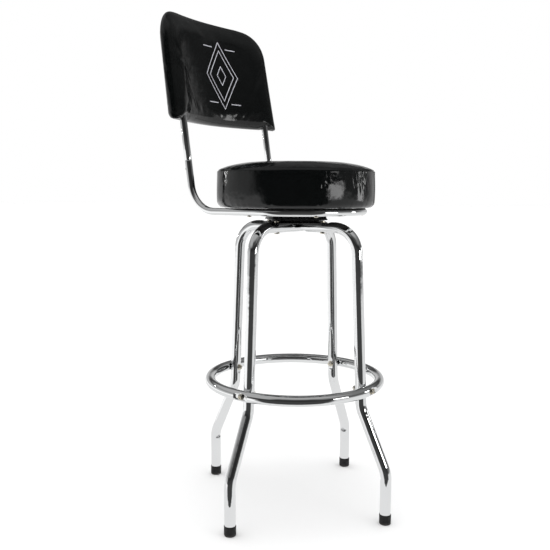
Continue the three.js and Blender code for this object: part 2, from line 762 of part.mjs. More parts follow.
// The posts with the holes that the back's screws enter
function drilledPost(side) {
  const holes = BACK_SCREW.heights.map((height) =>
    placeOnBoard(bar(HOLE.screw, -BACK.postDepth, REACH), side, height));
  const placed = backPost().translate(side * HOOP.reach, 0, 0);
  const lock = postScrewHole().translate(side * HOOP.reach, 0, 0);
  return cut(placed, lock, ...holes);
}

// ---------------------------------------------------------------- assembly

// The front feet and the back of the padding decide where the swivel axis stands
const frontReach = LEG.footReach + CAP.radius;
const rearReach = behindAt(BACK.bottomHeight)
  + (bendCentre + BACK.bend + BACK.thickness / 2) / Math.cos(LEAN)
  + (BACK.height - BACK.edge) * Math.sin(LEAN);
const AXIS_Y = (frontReach - rearReach) / 2;

const stool = new THREE.Group();
stool.position.set(0, AXIS_Y, 0);

function add(parent, name, geometry, finish) {
  const mesh = new THREE.Mesh(closed(geometry), finish);
  mesh.name = name;
  parent.add(mesh);
  return mesh;
}

function addAllRound(name, build, finish) {
  for (const [direction, degrees] of Object.entries(DIRECTIONS)) {
    const mesh = add(stool, `${name}_${direction}`, build(), finish);
    mesh.rotation.z = THREE.MathUtils.degToRad(degrees);
  }
}

// Base
add(stool, "leg_frame_front_rear", legFrame(true), CHROME).rotation.z = Math.PI / 2;
add(stool, "leg_frame_sides", legFrame(false), CHROME);
add(stool, "foot_ring", footRing(), CHROME).position.z = RING.height;
addAllRound("foot_cap", () => footCap().translate(LEG.footReach, 0, 0), RUBBER);
addAllRound("ring_bolt", () => ringBolt().translate(0, 0, RING.height), ZINC);
addAllRound("ring_nut", () => ringNut().translate(0, 0, RING.height), ZINC);
add(stool, "swivel_base_plate", swivelBasePlate(), BLACK_STEEL);
addAllRound("plate_bolt", plateBolt, ZINC);
addAllRound("plate_nut", plateNut, ZINC);
add(stool, "swivel_pivot_bolt", pivotBolt(), ZINC);
add(stool, "swivel_pivot_nut", pivotNut(), ZINC);

// Bearing
add(stool, "ball_bearing_ring", ballRing(), BEARING_STEEL);

// Seat
add(stool, "swivel_upper_race", upperRace(), BEARING_STEEL);
add(stool, "swivel_pan", swivelPan(), BLACK_STEEL);
addAllRound("pan_screw", panScrew, ZINC);
add(stool, "seat_board", seatBoard(), PLYWOOD);
add(stool, "seat_foam", seatFoam(), FOAM);
add(stool, "seat_cover", seatCover(), VINYL);
add(stool, "seat_hoop", seatHoop(), CHROME);
for (const [place, { x, y }] of Object.entries(hoopScrewPlaces)) {
  add(stool, `hoop_screw_${place}`, hoopScrew().translate(x, y, 0), ZINC);
}

// Posts and padded back, built in the leaning back frame
const back = new THREE.Group();
back.position.setFromMatrixPosition(backFrame);
back.rotation.x = -LEAN;
stool.add(back);
for (const [name, side] of [["left", 1], ["right", -1]]) {
  add(back, `back_post_${name}`, drilledPost(side), CHROME);
  add(back, `post_screw_${name}`, postScrew().translate(side * HOOP.reach, 0, 0), ZINC);
  for (const [level, height] of [["lower", BACK_SCREW.heights[0]], ["upper", BACK_SCREW.heights[1]]]) {
    add(back, `back_screw_${name}_${level}`, backScrew(side, height), ZINC);
  }
}
add(back, "back_board", backBoard(), PLYWOOD);
add(back, "back_foam_front", frontFoam(), FOAM);
add(back, "back_foam_rear", rearFoam(), FOAM);
add(back, "back_cover", backCover(), VINYL);

const scene = new THREE.Group();
scene.add(stool);

export default scene;
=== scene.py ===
"""A chrome swivel bar stool with a padded back: the looks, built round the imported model."""
import json
from math import copysign, cos, hypot, pi, radians, sin, sqrt, tan

import bpy
import numpy as np
from mathutils import Matrix, Vector, noise
from mathutils.bvhtree import BVHTree
from mathutils.kdtree import KDTree


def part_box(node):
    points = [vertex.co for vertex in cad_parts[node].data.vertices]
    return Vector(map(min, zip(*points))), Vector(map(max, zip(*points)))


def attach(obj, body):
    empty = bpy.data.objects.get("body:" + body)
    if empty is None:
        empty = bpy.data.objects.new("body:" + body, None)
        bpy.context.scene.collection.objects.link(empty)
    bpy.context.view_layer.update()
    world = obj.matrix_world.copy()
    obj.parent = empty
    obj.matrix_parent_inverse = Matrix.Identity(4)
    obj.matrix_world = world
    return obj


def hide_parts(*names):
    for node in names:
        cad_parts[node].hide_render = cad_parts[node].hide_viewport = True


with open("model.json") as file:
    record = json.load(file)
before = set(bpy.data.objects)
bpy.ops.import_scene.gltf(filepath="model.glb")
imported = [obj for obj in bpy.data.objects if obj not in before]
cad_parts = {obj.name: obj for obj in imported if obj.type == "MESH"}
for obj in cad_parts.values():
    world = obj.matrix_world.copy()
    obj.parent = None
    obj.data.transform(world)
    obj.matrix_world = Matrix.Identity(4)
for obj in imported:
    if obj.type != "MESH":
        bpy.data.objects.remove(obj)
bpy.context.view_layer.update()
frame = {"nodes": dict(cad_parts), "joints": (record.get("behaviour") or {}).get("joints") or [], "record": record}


# ---------------- places and sizes
# Shapes are worked out in millimetres in the stool's own frame: the swivel axis is x = y = 0, the floor
# is z = 0 and the sitter faces -Y. make() turns them into the row frame's metres.

MM = 0.001
AXIS = Vector(frame["joints"][0]["pos_m"]) * Vector((1, 1, 0))
SIDES = {"left": 0, "rear": 90, "right": 180, "front": 270}


def span(node):
    """Lowest and highest corner of a CAD node, in millimetres from the swivel axis."""
    low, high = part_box(node)
    return (low - AXIS) / MM, (high - AXIS) / MM


def heights(node):
    """The heights of a CAD node's underside and top."""
    low, high = span(node)
    return low.z, high.z


FOOT_REACH = sum(corner.x for corner in span("foot_cap_left")) / 2
CAP_RADIUS = span("foot_cap_left")[1].x - FOOT_REACH
CAP_HEIGHT = heights("foot_cap_left")[1]
RING_HEIGHT = sum(heights("foot_ring")) / 2
SEAT_LOW, SEAT_HIGH = heights("seat_cover")
SEAT_RADIUS = span("seat_cover")[1].y
BOARD_LOW = heights("seat_board")[0]
PLATE_LOW, PLATE_HIGH = heights("swivel_base_plate")
PAN_LOW, PAN_HIGH = heights("swivel_pan")

LEG_RADIUS = 12.25
LEG_FLAT = PLATE_LOW - 0.3
LEG_TOP = LEG_FLAT - 8  # centre line of the level run, which is pressed flat under the plate
LEG_AT_RING = 176.4
LEG_SPLAY = 0.0467
LEG_START = 5.5  # height of the tube's end inside the rubber cap
KNEE_HEIGHT, ANKLE_HEIGHT = 252.5, 114.5
ANKLE_BEND, KNEE_BEND, TOP_BEND = 60, 60, 58  # radii of the tube's bends
LAP_HEIGHT, LAP_GAP = LEG_TOP - 2.1, 0.2
PRESSED, LAPPED = (97, 12), (37, 18)  # how far from the axis, and the length over which it fades
NUT_OVAL, NUT_DENT = (17, 7), 1.6  # pressed into the inside of the leg: half length and fade, depth
WRINKLE_HEIGHT, WRINKLE_DEPTH = ANKLE_HEIGHT - 11, 3.8  # left inside the ankle by the bending

RING_RADIUS = 11.8
RING_REACH = 197.6
RING_DIMPLE = 2.4  # depth of the oval pressed in for each bolt head
RING_OVAL, RING_FLAT = (19, 8), (16, 6)  # pressed outside and inside: half length, and its fade
BOWL_LENGTH, BOWL_HEIGHT, BOWL_DEPTH = 17, 8.5, 1.6  # a deeper bowl in the oval, in half sizes

BOLT_HEAD = (6.3, 3.1)  # radius and height
BOLT_RADIUS, NUT_BORE = 2.9, 3.0
PLATE_BOLT_REACH = 74

BALL_CIRCLE, BALL_RADIUS, BALLS = 40, 4.75, 12
GROOVE_RADIUS = 5.6

TUBE = 8.0  # radius of the hoop and the posts
HOOP_REACH = span("seat_hoop")[1].x - TUBE
HOOP_HEIGHT = 684.1
HOOP_BEND = 67.0
JOINT_HEIGHT = 797.4
LEAN = radians(8.7)
POST_BEHIND, POST_AT = 196.0, 850.0  # a point on the line of the posts
POST_LENGTH = 264.0
SPIGOT = 38.0  # length of a post's end inside the hoop

BACK = {
    "bend": 392.0, "half_width": 201.0, "taper": 0.041, "bottom": 887.0, "height": 259.5,
    "thickness": 46.0, "corner_width": 77.0, "corner_height": 73.0, "corner_power": 2.45,
    "bow": 7.4, "edge": 45.0, "bottom_edge": 0.6, "post_depth": 10.0,
}


# ---------------- mesh helpers


def linked(name, data):
    """A new object in the scene."""
    holder = bpy.data.objects.new(name, data)
    bpy.context.scene.collection.objects.link(holder)
    return holder


def make(name, shape, body, slot, replaces=(), smooth=35, finish=None):
    """A piece from (points in millimetres, faces). An edge sharper than `smooth` degrees stays sharp.
    `finish` is only given where it isn't the slot's own."""
    points, faces = shape
    mesh = bpy.data.meshes.new(name)
    mesh.from_pydata([tuple(Vector(p) * MM + AXIS) for p in points], [], faces)
    mesh.validate()
    mesh.materials.append(finish or SLOT_FINISH[slot])
    mesh.polygons.foreach_set("use_smooth", [True] * len(mesh.polygons))
    mesh.set_sharp_from_angle(angle=radians(smooth))
    piece = linked(name, mesh)
    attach(piece, body)
    if replaces:
        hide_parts(*replaces)
    return piece


def merged(*shapes):
    """Several (points, faces) shapes as one."""
    points, faces = [], []
    for some_points, some_faces in shapes:
        start = len(points)
        points += [tuple(p) for p in some_points]
        faces += [tuple(i + start for i in face) for face in some_faces]
    return points, faces


def moved(shape, matrix):
    points, faces = shape
    return [matrix @ Vector(p) for p in points], faces


def spin(degrees, axis="Z"):
    return Matrix.Rotation(radians(degrees), 4, axis)


def at(x, y, z):
    return Matrix.Translation((x, y, z))


def around(count):
    """Angles in even steps round a full turn."""
    return np.linspace(0, 2 * pi, count, endpoint=False)


def circle(radius, height, segments):
    return [(radius * cos(a), radius * sin(a), height) for a in around(segments)]


def lofted(rings, close_ends=True, loop=False):
    """Skins rings that all have the same number of points; `loop` joins the last to the first."""
    count = len(rings[0])
    points = [p for ring in rings for p in ring]
    faces = []
    for i in range(len(rings) if loop else len(rings) - 1):
        here, there = i * count, ((i + 1) % len(rings)) * count
        for j in range(count):
            k = (j + 1) % count
            faces.append((here + j, here + k, there + k, there + j))
    if close_ends and not loop:
        faces.append(tuple(reversed(range(count))))
        faces.append(tuple(range(len(points) - count, len(points))))
    return points, faces


def turned(profile, segments, loop=False):
    """A solid of revolution about Z. A profile that isn't a loop starts and ends on the axis."""
    rings = [circle(*place, segments) for place in (profile if loop else profile[1:-1])]
    points, faces = lofted(rings, close_ends=False, loop=loop)
    if not loop:
        low, high = len(points), len(points) + 1
        last = low - segments
        points += [(0, 0, profile[0][1]), (0, 0, profile[-1][1])]
        for j in range(segments):
            k = (j + 1) % segments
            faces += [(low, k, j), (high, last + j, last + k)]
    return points, faces


def curve_through(points, step):
    """A smooth curve through the points (Catmull-Rom), with a point about every `step`."""
    ends = [2 * np.array(points[0], float) - points[1], *np.array(points, float),
            2 * np.array(points[-1], float) - points[-2]]
    out = []
    for a, b, c, d in zip(ends, ends[1:], ends[2:], ends[3:]):
        count = max(1, round(float(np.linalg.norm(c - b)) / step))
        for i in range(count):
            t = i / count
            out.append(0.5 * (2 * b + (c - a) * t + (2 * a - 5 * b + 4 * c - d) * t * t
                              + (3 * b - a - 3 * c + d) * t ** 3))
    out.append(np.array(points[-1], float))
    return out


def bend(before, corner, after, radius, steps=16):
    """The points of a round bend at a corner between two straight runs."""
    before, corner, after = Vector(before), Vector(corner), Vector(after)
    inward, outward = (before - corner).normalized(), (after - corner).normalized()
    half = inward.angle(outward) / 2
    centre = corner + (inward + outward).normalized() * (radius / sin(half))
    start = corner + inward * (radius / tan(half)) - centre
    axis = outward.cross(inward).normalized()
    turn = pi - 2 * half
    return [centre + Matrix.Rotation(turn * i / steps, 3, axis) @ start for i in range(steps + 1)]


def swept(path, radius, side, sides=40):
    """A round bar along a path. `side` is square to the path's start, and the radius may be a list."""
    path = [Vector(p) for p in path]
    radii = radius if isinstance(radius, list) else [radius] * len(path)
    across = Vector(side)
    rings = []
    for i, here in enumerate(path):
        along = (path[min(i + 1, len(path) - 1)] - path[max(i - 1, 0)]).normalized()
        across = (across - along * across.dot(along)).normalized()
        up = along.cross(across)
        rings.append([here + (across * cos(a) + up * sin(a)) * radii[i] for a in around(sides)])
    return lofted(rings)


def faded(distance, half_length, fade):
    """1 well within the half length, falling smoothly to 0 at its end."""
    x = float(np.clip((half_length - distance) / fade, 0, 1))
    return x * x * (3 - 2 * x)


def hump(distance, width):
    """1 at a distance of 0, falling smoothly to almost nothing at twice the width."""
    return np.exp(-(distance / width) ** 2)


# ---------------- materials


class Graph:
    """The nodes of a material or of the world."""

    def __init__(self, tree):
        self.nodes, self.links = tree.nodes, tree.links

    def add(self, kind, inputs, **settings):
        """A new node. `inputs` maps a socket's name or number to a value or another node's output."""
        node = self.nodes.new("ShaderNode" + kind)
        for name, value in settings.items():
            setattr(node, name, value)
        for key, value in inputs.items():
            if isinstance(value, bpy.types.NodeSocket):
                self.links.new(value, node.inputs[key])
            else:
                node.inputs[key].default_value = value
        return node

    def between(self, value, low, high, to_low=0.0, to_high=1.0):
        """A smooth step from one level to another as the value goes from low to high."""
        inputs = dict(enumerate((value, low, high, to_low, to_high)))
        return self.add("MapRange", inputs, interpolation_type="SMOOTHSTEP").outputs["Result"]

    def math(self, operation, a, b):
        return self.add("Math", {0: a, 1: b}, operation=operation).outputs["Value"]


class Finish(Graph):
    """A node material: a Principled shader with procedural inputs."""

    def __init__(self, name, **plain):
        self.material = bpy.data.materials.new(name)
        self.material.use_nodes = True
        super().__init__(self.material.node_tree)
        self.shader = self.nodes["Principled BSDF"]
        self.place = self.add("TexCoord", {}).outputs["Object"]
        self.normal = None
        for socket, value in plain.items():
            self.shader.inputs[socket.replace("_", " ")].default_value = value

    def stretched(self, scale):
        return self.add("Mapping", {"Scale": scale, "Vector": self.place}).outputs["Vector"]

    def noise(self, scale, detail=3.0, rough=0.55, place=None):
        inputs = {"Scale": scale, "Detail": detail, "Roughness": rough, "Vector": place or self.place}
        return self.add("TexNoise", inputs).outputs["Fac"]

    def cells(self, scale, feature="F1"):
        inputs = {"Scale": scale, "Vector": self.place}
        return self.add("TexVoronoi", inputs, feature=feature).outputs["Distance"]

    def bands(self, scale, direction, distortion):
        inputs = {"Scale": scale, "Distortion": distortion, "Vector": self.place}
        return self.add("TexWave", inputs, bands_direction=direction).outputs["Fac"]

    def mix(self, value, low, high):
        """Between two colours; a mix node's colours are its sockets 6 and 7, and its output 2."""
        low, high = ((*colour, 1) if isinstance(colour, tuple) else colour for colour in (low, high))
        return self.add("Mix", {0: value, 6: low, 7: high}, data_type="RGBA").outputs[2]

    def bump(self, height, distance):
        """Adds a bump of `distance` metres on top of the ones before it."""
        inputs = {"Height": height, "Distance": distance}
        if self.normal:
            inputs["Normal"] = self.normal
        self.normal = self.add("Bump", inputs).outputs["Normal"]

    def look(self, colour, roughness, *bumps):
        """Connects the colour, the roughness and the bumps, and gives the material."""
        for height, distance in bumps:
            self.bump(height, distance)
        sockets = {"Base Color": colour, "Roughness": roughness, "Normal": self.normal}
        for socket, value in sockets.items():
            self.links.new(value, self.shader.inputs[socket])
        return self.material


def chrome():
    """Bright plate over drawn tube: a faint waviness, polishing haze and a few dull specks."""
    f = Finish("chrome", Metallic=1.0)
    haze = f.between(f.noise(55, 5), 0.35, 0.8, 0.025, 0.075)
    speck = f.between(f.cells(420), 0.02, 0.05, 0.16, 0.0)
    drawn = f.noise(900, 2, place=f.stretched((1, 1, 0.08)))
    return f.look(f.mix(f.noise(9), (0.80, 0.81, 0.815), (0.87, 0.875, 0.88)),
                  f.math("MAXIMUM", haze, speck), (f.noise(38, 2), 0.00035), (drawn, 0.000006))


def vinyl():
    """Black upholstery vinyl with a wet gloss: fine orange peel over a slow unevenness."""
    f = Finish("black_vinyl", Specular_IOR_Level=0.42)
    return f.look(f.mix(f.noise(26, 4), (0.0014, 0.0021, 0.0021), (0.0030, 0.0036, 0.0037)),
                  f.between(f.noise(70, 4), 0.3, 0.75, 0.05, 0.12), (f.noise(34, 2), 0.0009),
                  (f.cells(950, "SMOOTH_F1"), 0.000035), (f.noise(2400, 2), 0.000012))


def rubber():
    """Matt moulded rubber, scuffed paler where it meets the floor."""
    f = Finish("black_rubber", Specular_IOR_Level=0.35)
    height = f.add("SeparateXYZ", {0: f.place}).outputs["Z"]
    scuff = f.math("MULTIPLY", f.between(height, 0.001, 0.007, 1.0, 0.0), f.noise(260, 4))
    return f.look(f.mix(scuff, (0.010, 0.010, 0.0105), (0.10, 0.095, 0.09)),
                  f.between(f.noise(160, 4), 0.3, 0.7, 0.5, 0.78), (f.noise(1300, 3), 0.00008))


def black_paint():
    """Semi-gloss black paint over pressed steel, with worn grey spots."""
    f = Finish("black_paint")
    wear = f.between(f.noise(210, 6, 0.7), 0.64, 0.74)
    return f.look(f.mix(wear, (0.012, 0.012, 0.013), (0.09, 0.09, 0.095)),
                  f.between(f.noise(120, 4), 0.3, 0.75, 0.22, 0.42), (f.noise(700, 3), 0.00006))


def zinc():
    """Yellow-passivated zinc plate, uneven in colour, with a fine drawn grain."""
    f = Finish("zinc_plate", Metallic=1.0)
    return f.look(f.mix(f.between(f.noise(240, 3), 0.35, 0.65), (0.70, 0.64, 0.50), (0.66, 0.65, 0.62)),
                  f.between(f.noise(500, 4), 0.3, 0.7, 0.18, 0.36), (f.noise(2200, 3), 0.00002))


def bearing_steel():
    """Hard steel with a smear of dark grease."""
    f = Finish("bearing_steel", Metallic=1.0)
    grease = f.between(f.noise(130, 4), 0.45, 0.6)
    return f.look(f.mix(grease, (0.56, 0.57, 0.58), (0.16, 0.13, 0.09)),
                  f.between(grease, 0.0, 1.0, 0.18, 0.42), (f.noise(1500, 2), 0.00002))


def grain_of(f):
    """Wood grain that runs along X."""
    return f.noise(60, 6, 0.6, place=f.stretched((0.12, 1.6, 1.0)))


def plywood():
    """Birch plywood: long grain on the faces and plies along the edge."""
    f = Finish("plywood", Specular_IOR_Level=0.3)
    grain = grain_of(f)
    face = f.mix(f.between(grain, 0.3, 0.7), (0.50, 0.33, 0.18), (0.72, 0.53, 0.33))
    ply = f.between(f.bands(90, "Z", 0.6), 0.35, 0.65, 0.0, 0.45)
    return f.look(f.mix(ply, face, (0.34, 0.20, 0.10)), f.between(grain, 0.2, 0.8, 0.62, 0.85),
                  (grain, 0.00025))


def sealed_board():
    """The seat board: plywood under a thin coat of black sealer, with the grain just showing."""
    f = Finish("black_sealed_board", Specular_IOR_Level=0.25)
    grain = grain_of(f)
    return f.look(f.mix(f.between(grain, 0.3, 0.75), (0.006, 0.006, 0.006), (0.022, 0.020, 0.018)),
                  f.between(grain, 0.2, 0.8, 0.5, 0.75), (grain, 0.0002))


def foam():
    """Open-celled cream foam, with painted shade darkening the hollow of each pore."""
    f = Finish("cream_foam", Specular_IOR_Level=0.15)
    pore_depth_and_shade = f.cells(650)
    # Painted shade: the colour darkens towards each pore's middle, where the bump sinks in
    return f.look(f.mix(pore_depth_and_shade, (0.62, 0.52, 0.28), (0.83, 0.76, 0.54)),
                  f.between(f.noise(90), 0.2, 0.8, 0.85, 1.0), (pore_depth_and_shade, 0.0008))


def ink():
    """Screen-printed white ink with a cool cast, thin in places."""
    f = Finish("white_ink", Specular_IOR_Level=0.4)
    return f.look(f.mix(f.between(f.noise(420, 4), 0.35, 0.7), (0.56, 0.56, 0.62), (0.78, 0.78, 0.83)),
                  f.between(f.noise(300), 0.3, 0.7, 0.28, 0.45), (f.noise(1500), 0.00003))


def thread():
    """Twisted black nylon thread."""
    f = Finish("black_thread")
    return f.look(f.mix(f.noise(700), (0.02, 0.021, 0.022), (0.06, 0.062, 0.065)),
                  f.between(f.noise(500), 0.3, 0.7, 0.35, 0.6), (f.bands(500, "DIAGONAL", 1.0), 0.0002))


SLOT_FINISH = {
    "chrome_tube": chrome(), "black_vinyl": vinyl(), "black_rubber": rubber(),
    "black_steel": black_paint(), "bearing_steel": bearing_steel(), "zinc_hardware": zinc(),
    "plywood": plywood(), "cream_foam": foam(), "black_board": sealed_board(),
}


# ---------------- cloth

SWELL_FRAMES = 20
CLOTH = {
    "quality": 7, "mass": 0.25, "air_damping": 2.0, "tension_stiffness": 25.0,
    "compression_stiffness": 25.0, "shear_stiffness": 8.0, "bending_stiffness": 1.2,
    "use_pressure": True, "vertex_group_mass": "pinned", "pin_stiffness": 1.0,
}


def rows_of(items, field):
    """A field of a mesh's points as an array with one row for each."""
    flat = np.zeros(len(items) * 3)
    items.foreach_get(field, flat)
    return flat.reshape(-1, 3)


def evaluated(piece):
    return piece.evaluated_get(bpy.context.evaluated_depsgraph_get())


def swollen(piece, pinned, pressure, limit, spare):
    """Lets a closed cover swell by cloth simulation. `pinned` holds a weight for each point, `limit`
    is the most that a point may move, in millimetres, and `spare` is how much too large the cloth is
    cut."""
    mesh, scene = piece.data, bpy.context.scene
    group = piece.vertex_groups.new(name="pinned")
    for weight in sorted(set(pinned)):
        if weight > 0:
            group.add([i for i, w in enumerate(pinned) if w == weight], weight, "REPLACE")
    cloth = piece.modifiers.new("swell", "CLOTH")
    for name, value in {**CLOTH, "uniform_pressure_force": pressure, "shrink_min": -spare}.items():
        setattr(cloth.settings, name, value)
    cloth.settings.effector_weights.gravity = 0.0
    cloth.collision_settings.use_collision = False
    cloth.collision_settings.use_self_collision = False
    cloth.point_cache.frame_start, cloth.point_cache.frame_end = 1, SWELL_FRAMES
    rest = rows_of(mesh.vertices, "co")
    for step in range(1, SWELL_FRAMES + 1):
        scene.frame_set(step)
    shift = rows_of(evaluated(piece).data.vertices, "co") - rest
    piece.modifiers.remove(cloth)
    piece.vertex_groups.remove(group)
    scene.frame_set(1)
    # The filling keeps the cover from sinking in, and no point swells past the limit
    normals = rows_of(mesh.vertex_normals, "vector")
    out = (shift * normals).sum(axis=1)
    shift += normals * (np.maximum(out, 0) - out)[:, None]
    length = np.linalg.norm(shift, axis=1)
    scale = np.minimum(1, limit * MM / np.maximum(length, 1e-9))
    mesh.vertices.foreach_set("co", (rest + shift * scale[:, None]).ravel())
    mesh.update()


def baked(piece):
    """Makes what the piece's modifiers do a part of its mesh."""
    mesh = bpy.data.meshes.new_from_object(evaluated(piece))
    piece.modifiers.clear()
    piece.data = mesh


def subdivided(piece):
    piece.modifiers.new("fine", "SUBSURF").levels = 1
    baked(piece)


def points_of(piece):
    """The piece's points in millimetres in the stool's frame, and its normals, as arrays."""
    mesh = piece.data
    return (rows_of(mesh.vertices, "co") - np.array(AXIS)) / MM, rows_of(mesh.vertex_normals, "vector")


def move_points(piece, points):
    piece.data.vertices.foreach_set("co", (points * MM + np.array(AXIS)).ravel())
    piece.data.update()


def ridges(points, size, seed):
    """Smooth noise from -1 to 1 at each point, with bumps about `size` millimetres across."""
    offset = Vector((seed * 17.3, seed * 5.1, seed * 9.7))
    return np.array([noise.noise(Vector(p) / size + offset) for p in points])


def ridges_along(x, size, seed):
    """The same noise along one direction only."""
    return ridges(np.stack([x, 0 * x, 0 * x], 1), size, seed)


def near_seam(points, seam):
    """For each point, its distance to the seam's nearest point, and that point."""
    tree = KDTree(len(seam))
    for i, p in enumerate(seam):
        tree.insert(p, i)
    tree.balance()
    found = [tree.find(p) for p in points]
    return np.array([distance for _, _, distance in found]), np.array([tuple(p) for p, _, _ in found])


def dense(line):
    """A polyline with a point about every millimetre."""
    out = []
    for a, b in zip(line, line[1:]):
        count = max(1, int(np.linalg.norm(np.array(b) - a)))
        out += [np.array(a) + (np.array(b) - a) * i / count for i in range(count)]
    return out


def surface(piece):
    """A ray caster on the piece, in millimetres in the stool's frame: hit(origin, direction)."""
    points, _ = points_of(piece)
    faces = [tuple(face.vertices) for face in piece.data.polygons]
    tree = BVHTree.FromPolygons([tuple(p) for p in points], faces)
    return lambda origin, way: tree.ray_cast(Vector(origin), Vector(way).normalized())[0]


# ---------------- base


def leg_reach(z):
    return LEG_AT_RING + (RING_HEIGHT - z) * LEG_SPLAY


def leg_frame(upper):
    """One crossed leg frame in the XZ plane, pressed flat under the plate and at the lap."""
    foot, ankle = (FOOT_REACH, 0, LEG_START), (FOOT_REACH, 0, ANKLE_HEIGHT)
    knee, top = ((leg_reach(z), 0, z) for z in (KNEE_HEIGHT, LEG_TOP))
    middle = (0, 0, LEG_TOP)
    half = [foot, *((FOOT_REACH, 0, WRINKLE_HEIGHT - z) for z in (9, 6, 4))]
    half += [*bend(foot, ankle, knee, ANKLE_BEND, 36), *bend(ankle, knee, top, KNEE_BEND)]
    half += [(leg_reach(z), 0, z) for z in np.arange(RING_HEIGHT - 22, RING_HEIGHT + 23, 2)]
    half += [*bend(knee, top, middle, TOP_BEND, 24), *((x, 0, LEG_TOP) for x in np.arange(99, 0, -3))]
    mirrored = [(-p[0], p[1], p[2]) for p in reversed(half)]
    points, faces = swept([*half, middle, *mirrored], LEG_RADIUS, (0, 1, 0))
    pressed = []
    for x, y, z in points:
        reach = abs(x)
        if reach < 100 and z > LEG_TOP - 20:
            ceiling = LEG_TOP + LEG_RADIUS + (LEG_FLAT - LEG_TOP - LEG_RADIUS) * faded(reach, *PRESSED)
            lap = faded(reach, *LAPPED)
            if upper:
                z = max(z, LEG_TOP - LEG_RADIUS + (LAP_HEIGHT + LAP_GAP - LEG_TOP + LEG_RADIUS) * lap)
            else:
                ceiling += (LAP_HEIGHT - LAP_GAP - ceiling) * lap
            z = min(z, ceiling)
        if abs(z - RING_HEIGHT) < 22 and reach < 200:
            # A shallow oval pressed into the inside of the leg, where the nut sits
            inner = leg_reach(z) - LEG_RADIUS + NUT_DENT * faded(abs(z - RING_HEIGHT), *NUT_OVAL)
            x = copysign(max(reach, inner), x)
        if abs(z - WRINKLE_HEIGHT) < 10 and reach < FOOT_REACH - 3:
            wrinkle = WRINKLE_DEPTH * hump(z - WRINKLE_HEIGHT, 3.2) * hump(y, 6)
            x = copysign(reach + wrinkle, x)
        pressed.append((x, y, z))
    return pressed, faces


make("leg_tube_sides", leg_frame(False), "base", "chrome_tube", ["leg_frame_sides"])
make("leg_tube_front_rear", moved(leg_frame(True), spin(90)), "base", "chrome_tube",
     ["leg_frame_front_rear"])


def foot_ring():
    """The ring with an oval pressed into its outside at each leg, and flats inside against the legs."""
    seat_inside = LEG_AT_RING + LEG_RADIUS + 0.45 - RING_REACH
    rings = []
    for turn in around(288):
        from_leg = RING_REACH * abs(turn - pi / 2 * round(turn / (pi / 2)))
        oval, flat = faded(from_leg, *RING_OVAL), faded(from_leg, *RING_FLAT)
        ring = []
        for a in around(40):
            out, up = RING_RADIUS * cos(a), RING_RADIUS * sin(a)
            bowl = max(0, 1 - (from_leg / BOWL_LENGTH) ** 2 - (up / BOWL_HEIGHT) ** 2)
            out = min(out, RING_RADIUS - RING_DIMPLE * oval - min(BOWL_DEPTH, 3 * bowl))
            out = max(out, -RING_RADIUS + (seat_inside + RING_RADIUS) * flat) + RING_REACH
            ring.append((out * cos(turn), out * sin(turn), RING_HEIGHT + up))
        rings.append(ring)
    return lofted(rings, loop=True)


make("foot_ring_tube", foot_ring(), "base", "chrome_tube", ["foot_ring"], smooth=22)


def rubber_cap():
    """A moulded cap: a rounded foot with a shallow groove, and a lip round the tube."""
    r, top = CAP_RADIUS, CAP_HEIGHT
    return turned([
        (0, 0), (r - 2.6, 0), (r - 1.0, 0.5), (r - 0.2, 1.9), (r, 3.4), (r, 4.6), (r - 0.5, 5.0),
        (r - 0.5, 5.5), (r, 5.9), (r - 0.1, top - 3.6), (r + 0.1, top - 2.8), (r + 0.1, top - 1.0),
        (r - 0.4, top), (12.9, top), (12.5, top - 0.8), (12.5, 5.2), (0, 5.2),
    ], 56)


def domed_head(radius, height):
    """A pan head on z = 0 with a cross recess, over a short shank."""
    recess = 0.62 * radius
    rings = [circle(r, z, 40) for r, z in ((3.0, -9), (3.0, 0.1), (radius - 0.4, 0), (radius, 0.5),
                                           (radius, 1.0))]
    for share in np.linspace(0.96, 0.04, 14):
        dome = 1.0 + (height - 1.0) * sqrt(1 - share ** 2.4)
        ring = []
        for x, y, _ in circle(radius * share, 0, 40):
            near, far = sorted((abs(x), abs(y)))
            in_arm = near < 0.16 * radius and far < recess
            ring.append((x, y, dome - (1.5 * (1 - 0.55 * far / recess) if in_arm else 0)))
        rings.append(ring)
    return lofted(rings)


def hexagon(radius, low, high, bore, washer=0.0):
    """A chamfered hexagonal nut between two heights, with an optional washer face of its own."""
    def ring(z, chamfer):
        out = []
        for a in around(48):
            corner = (a % (pi / 3)) - pi / 6
            r = min(radius * cos(pi / 6) / cos(corner), radius * (1 - chamfer))
            out.append((r * cos(a), r * sin(a), z))
        return out
    outside = [ring(low, 0.1), ring(low + 0.5, 0.02), ring(high - 0.5, 0.02), ring(high, 0.1)]
    if washer:
        outside = [circle(radius * 1.25, low - washer, 48), circle(radius * 1.25, low - 0.1, 48),
                   circle(radius * 0.9, low - 0.05, 48), *outside]
    low -= washer
    hole = ((bore + 0.5, high), (bore, high - 0.5), (bore, low + 0.5), (bore + 0.5, low))
    return lofted([*outside, *(circle(r, z, 48) for r, z in hole)], loop=True)


def bolt_end(low, high):
    """The tip of a bolt with turned grooves for its thread."""
    profile = [(0, low), (BOLT_RADIUS - 0.5, low)]
    for z in np.arange(low + 0.4, high, 0.8):
        profile += [(BOLT_RADIUS, z), (BOLT_RADIUS - 0.35, z + 0.4)]
    return turned([*profile, (0, high)], 32)


OUTWARD = spin(90, "Y")  # stands a part that is drawn along Z out sideways
DOWNWARD = spin(180, "X")

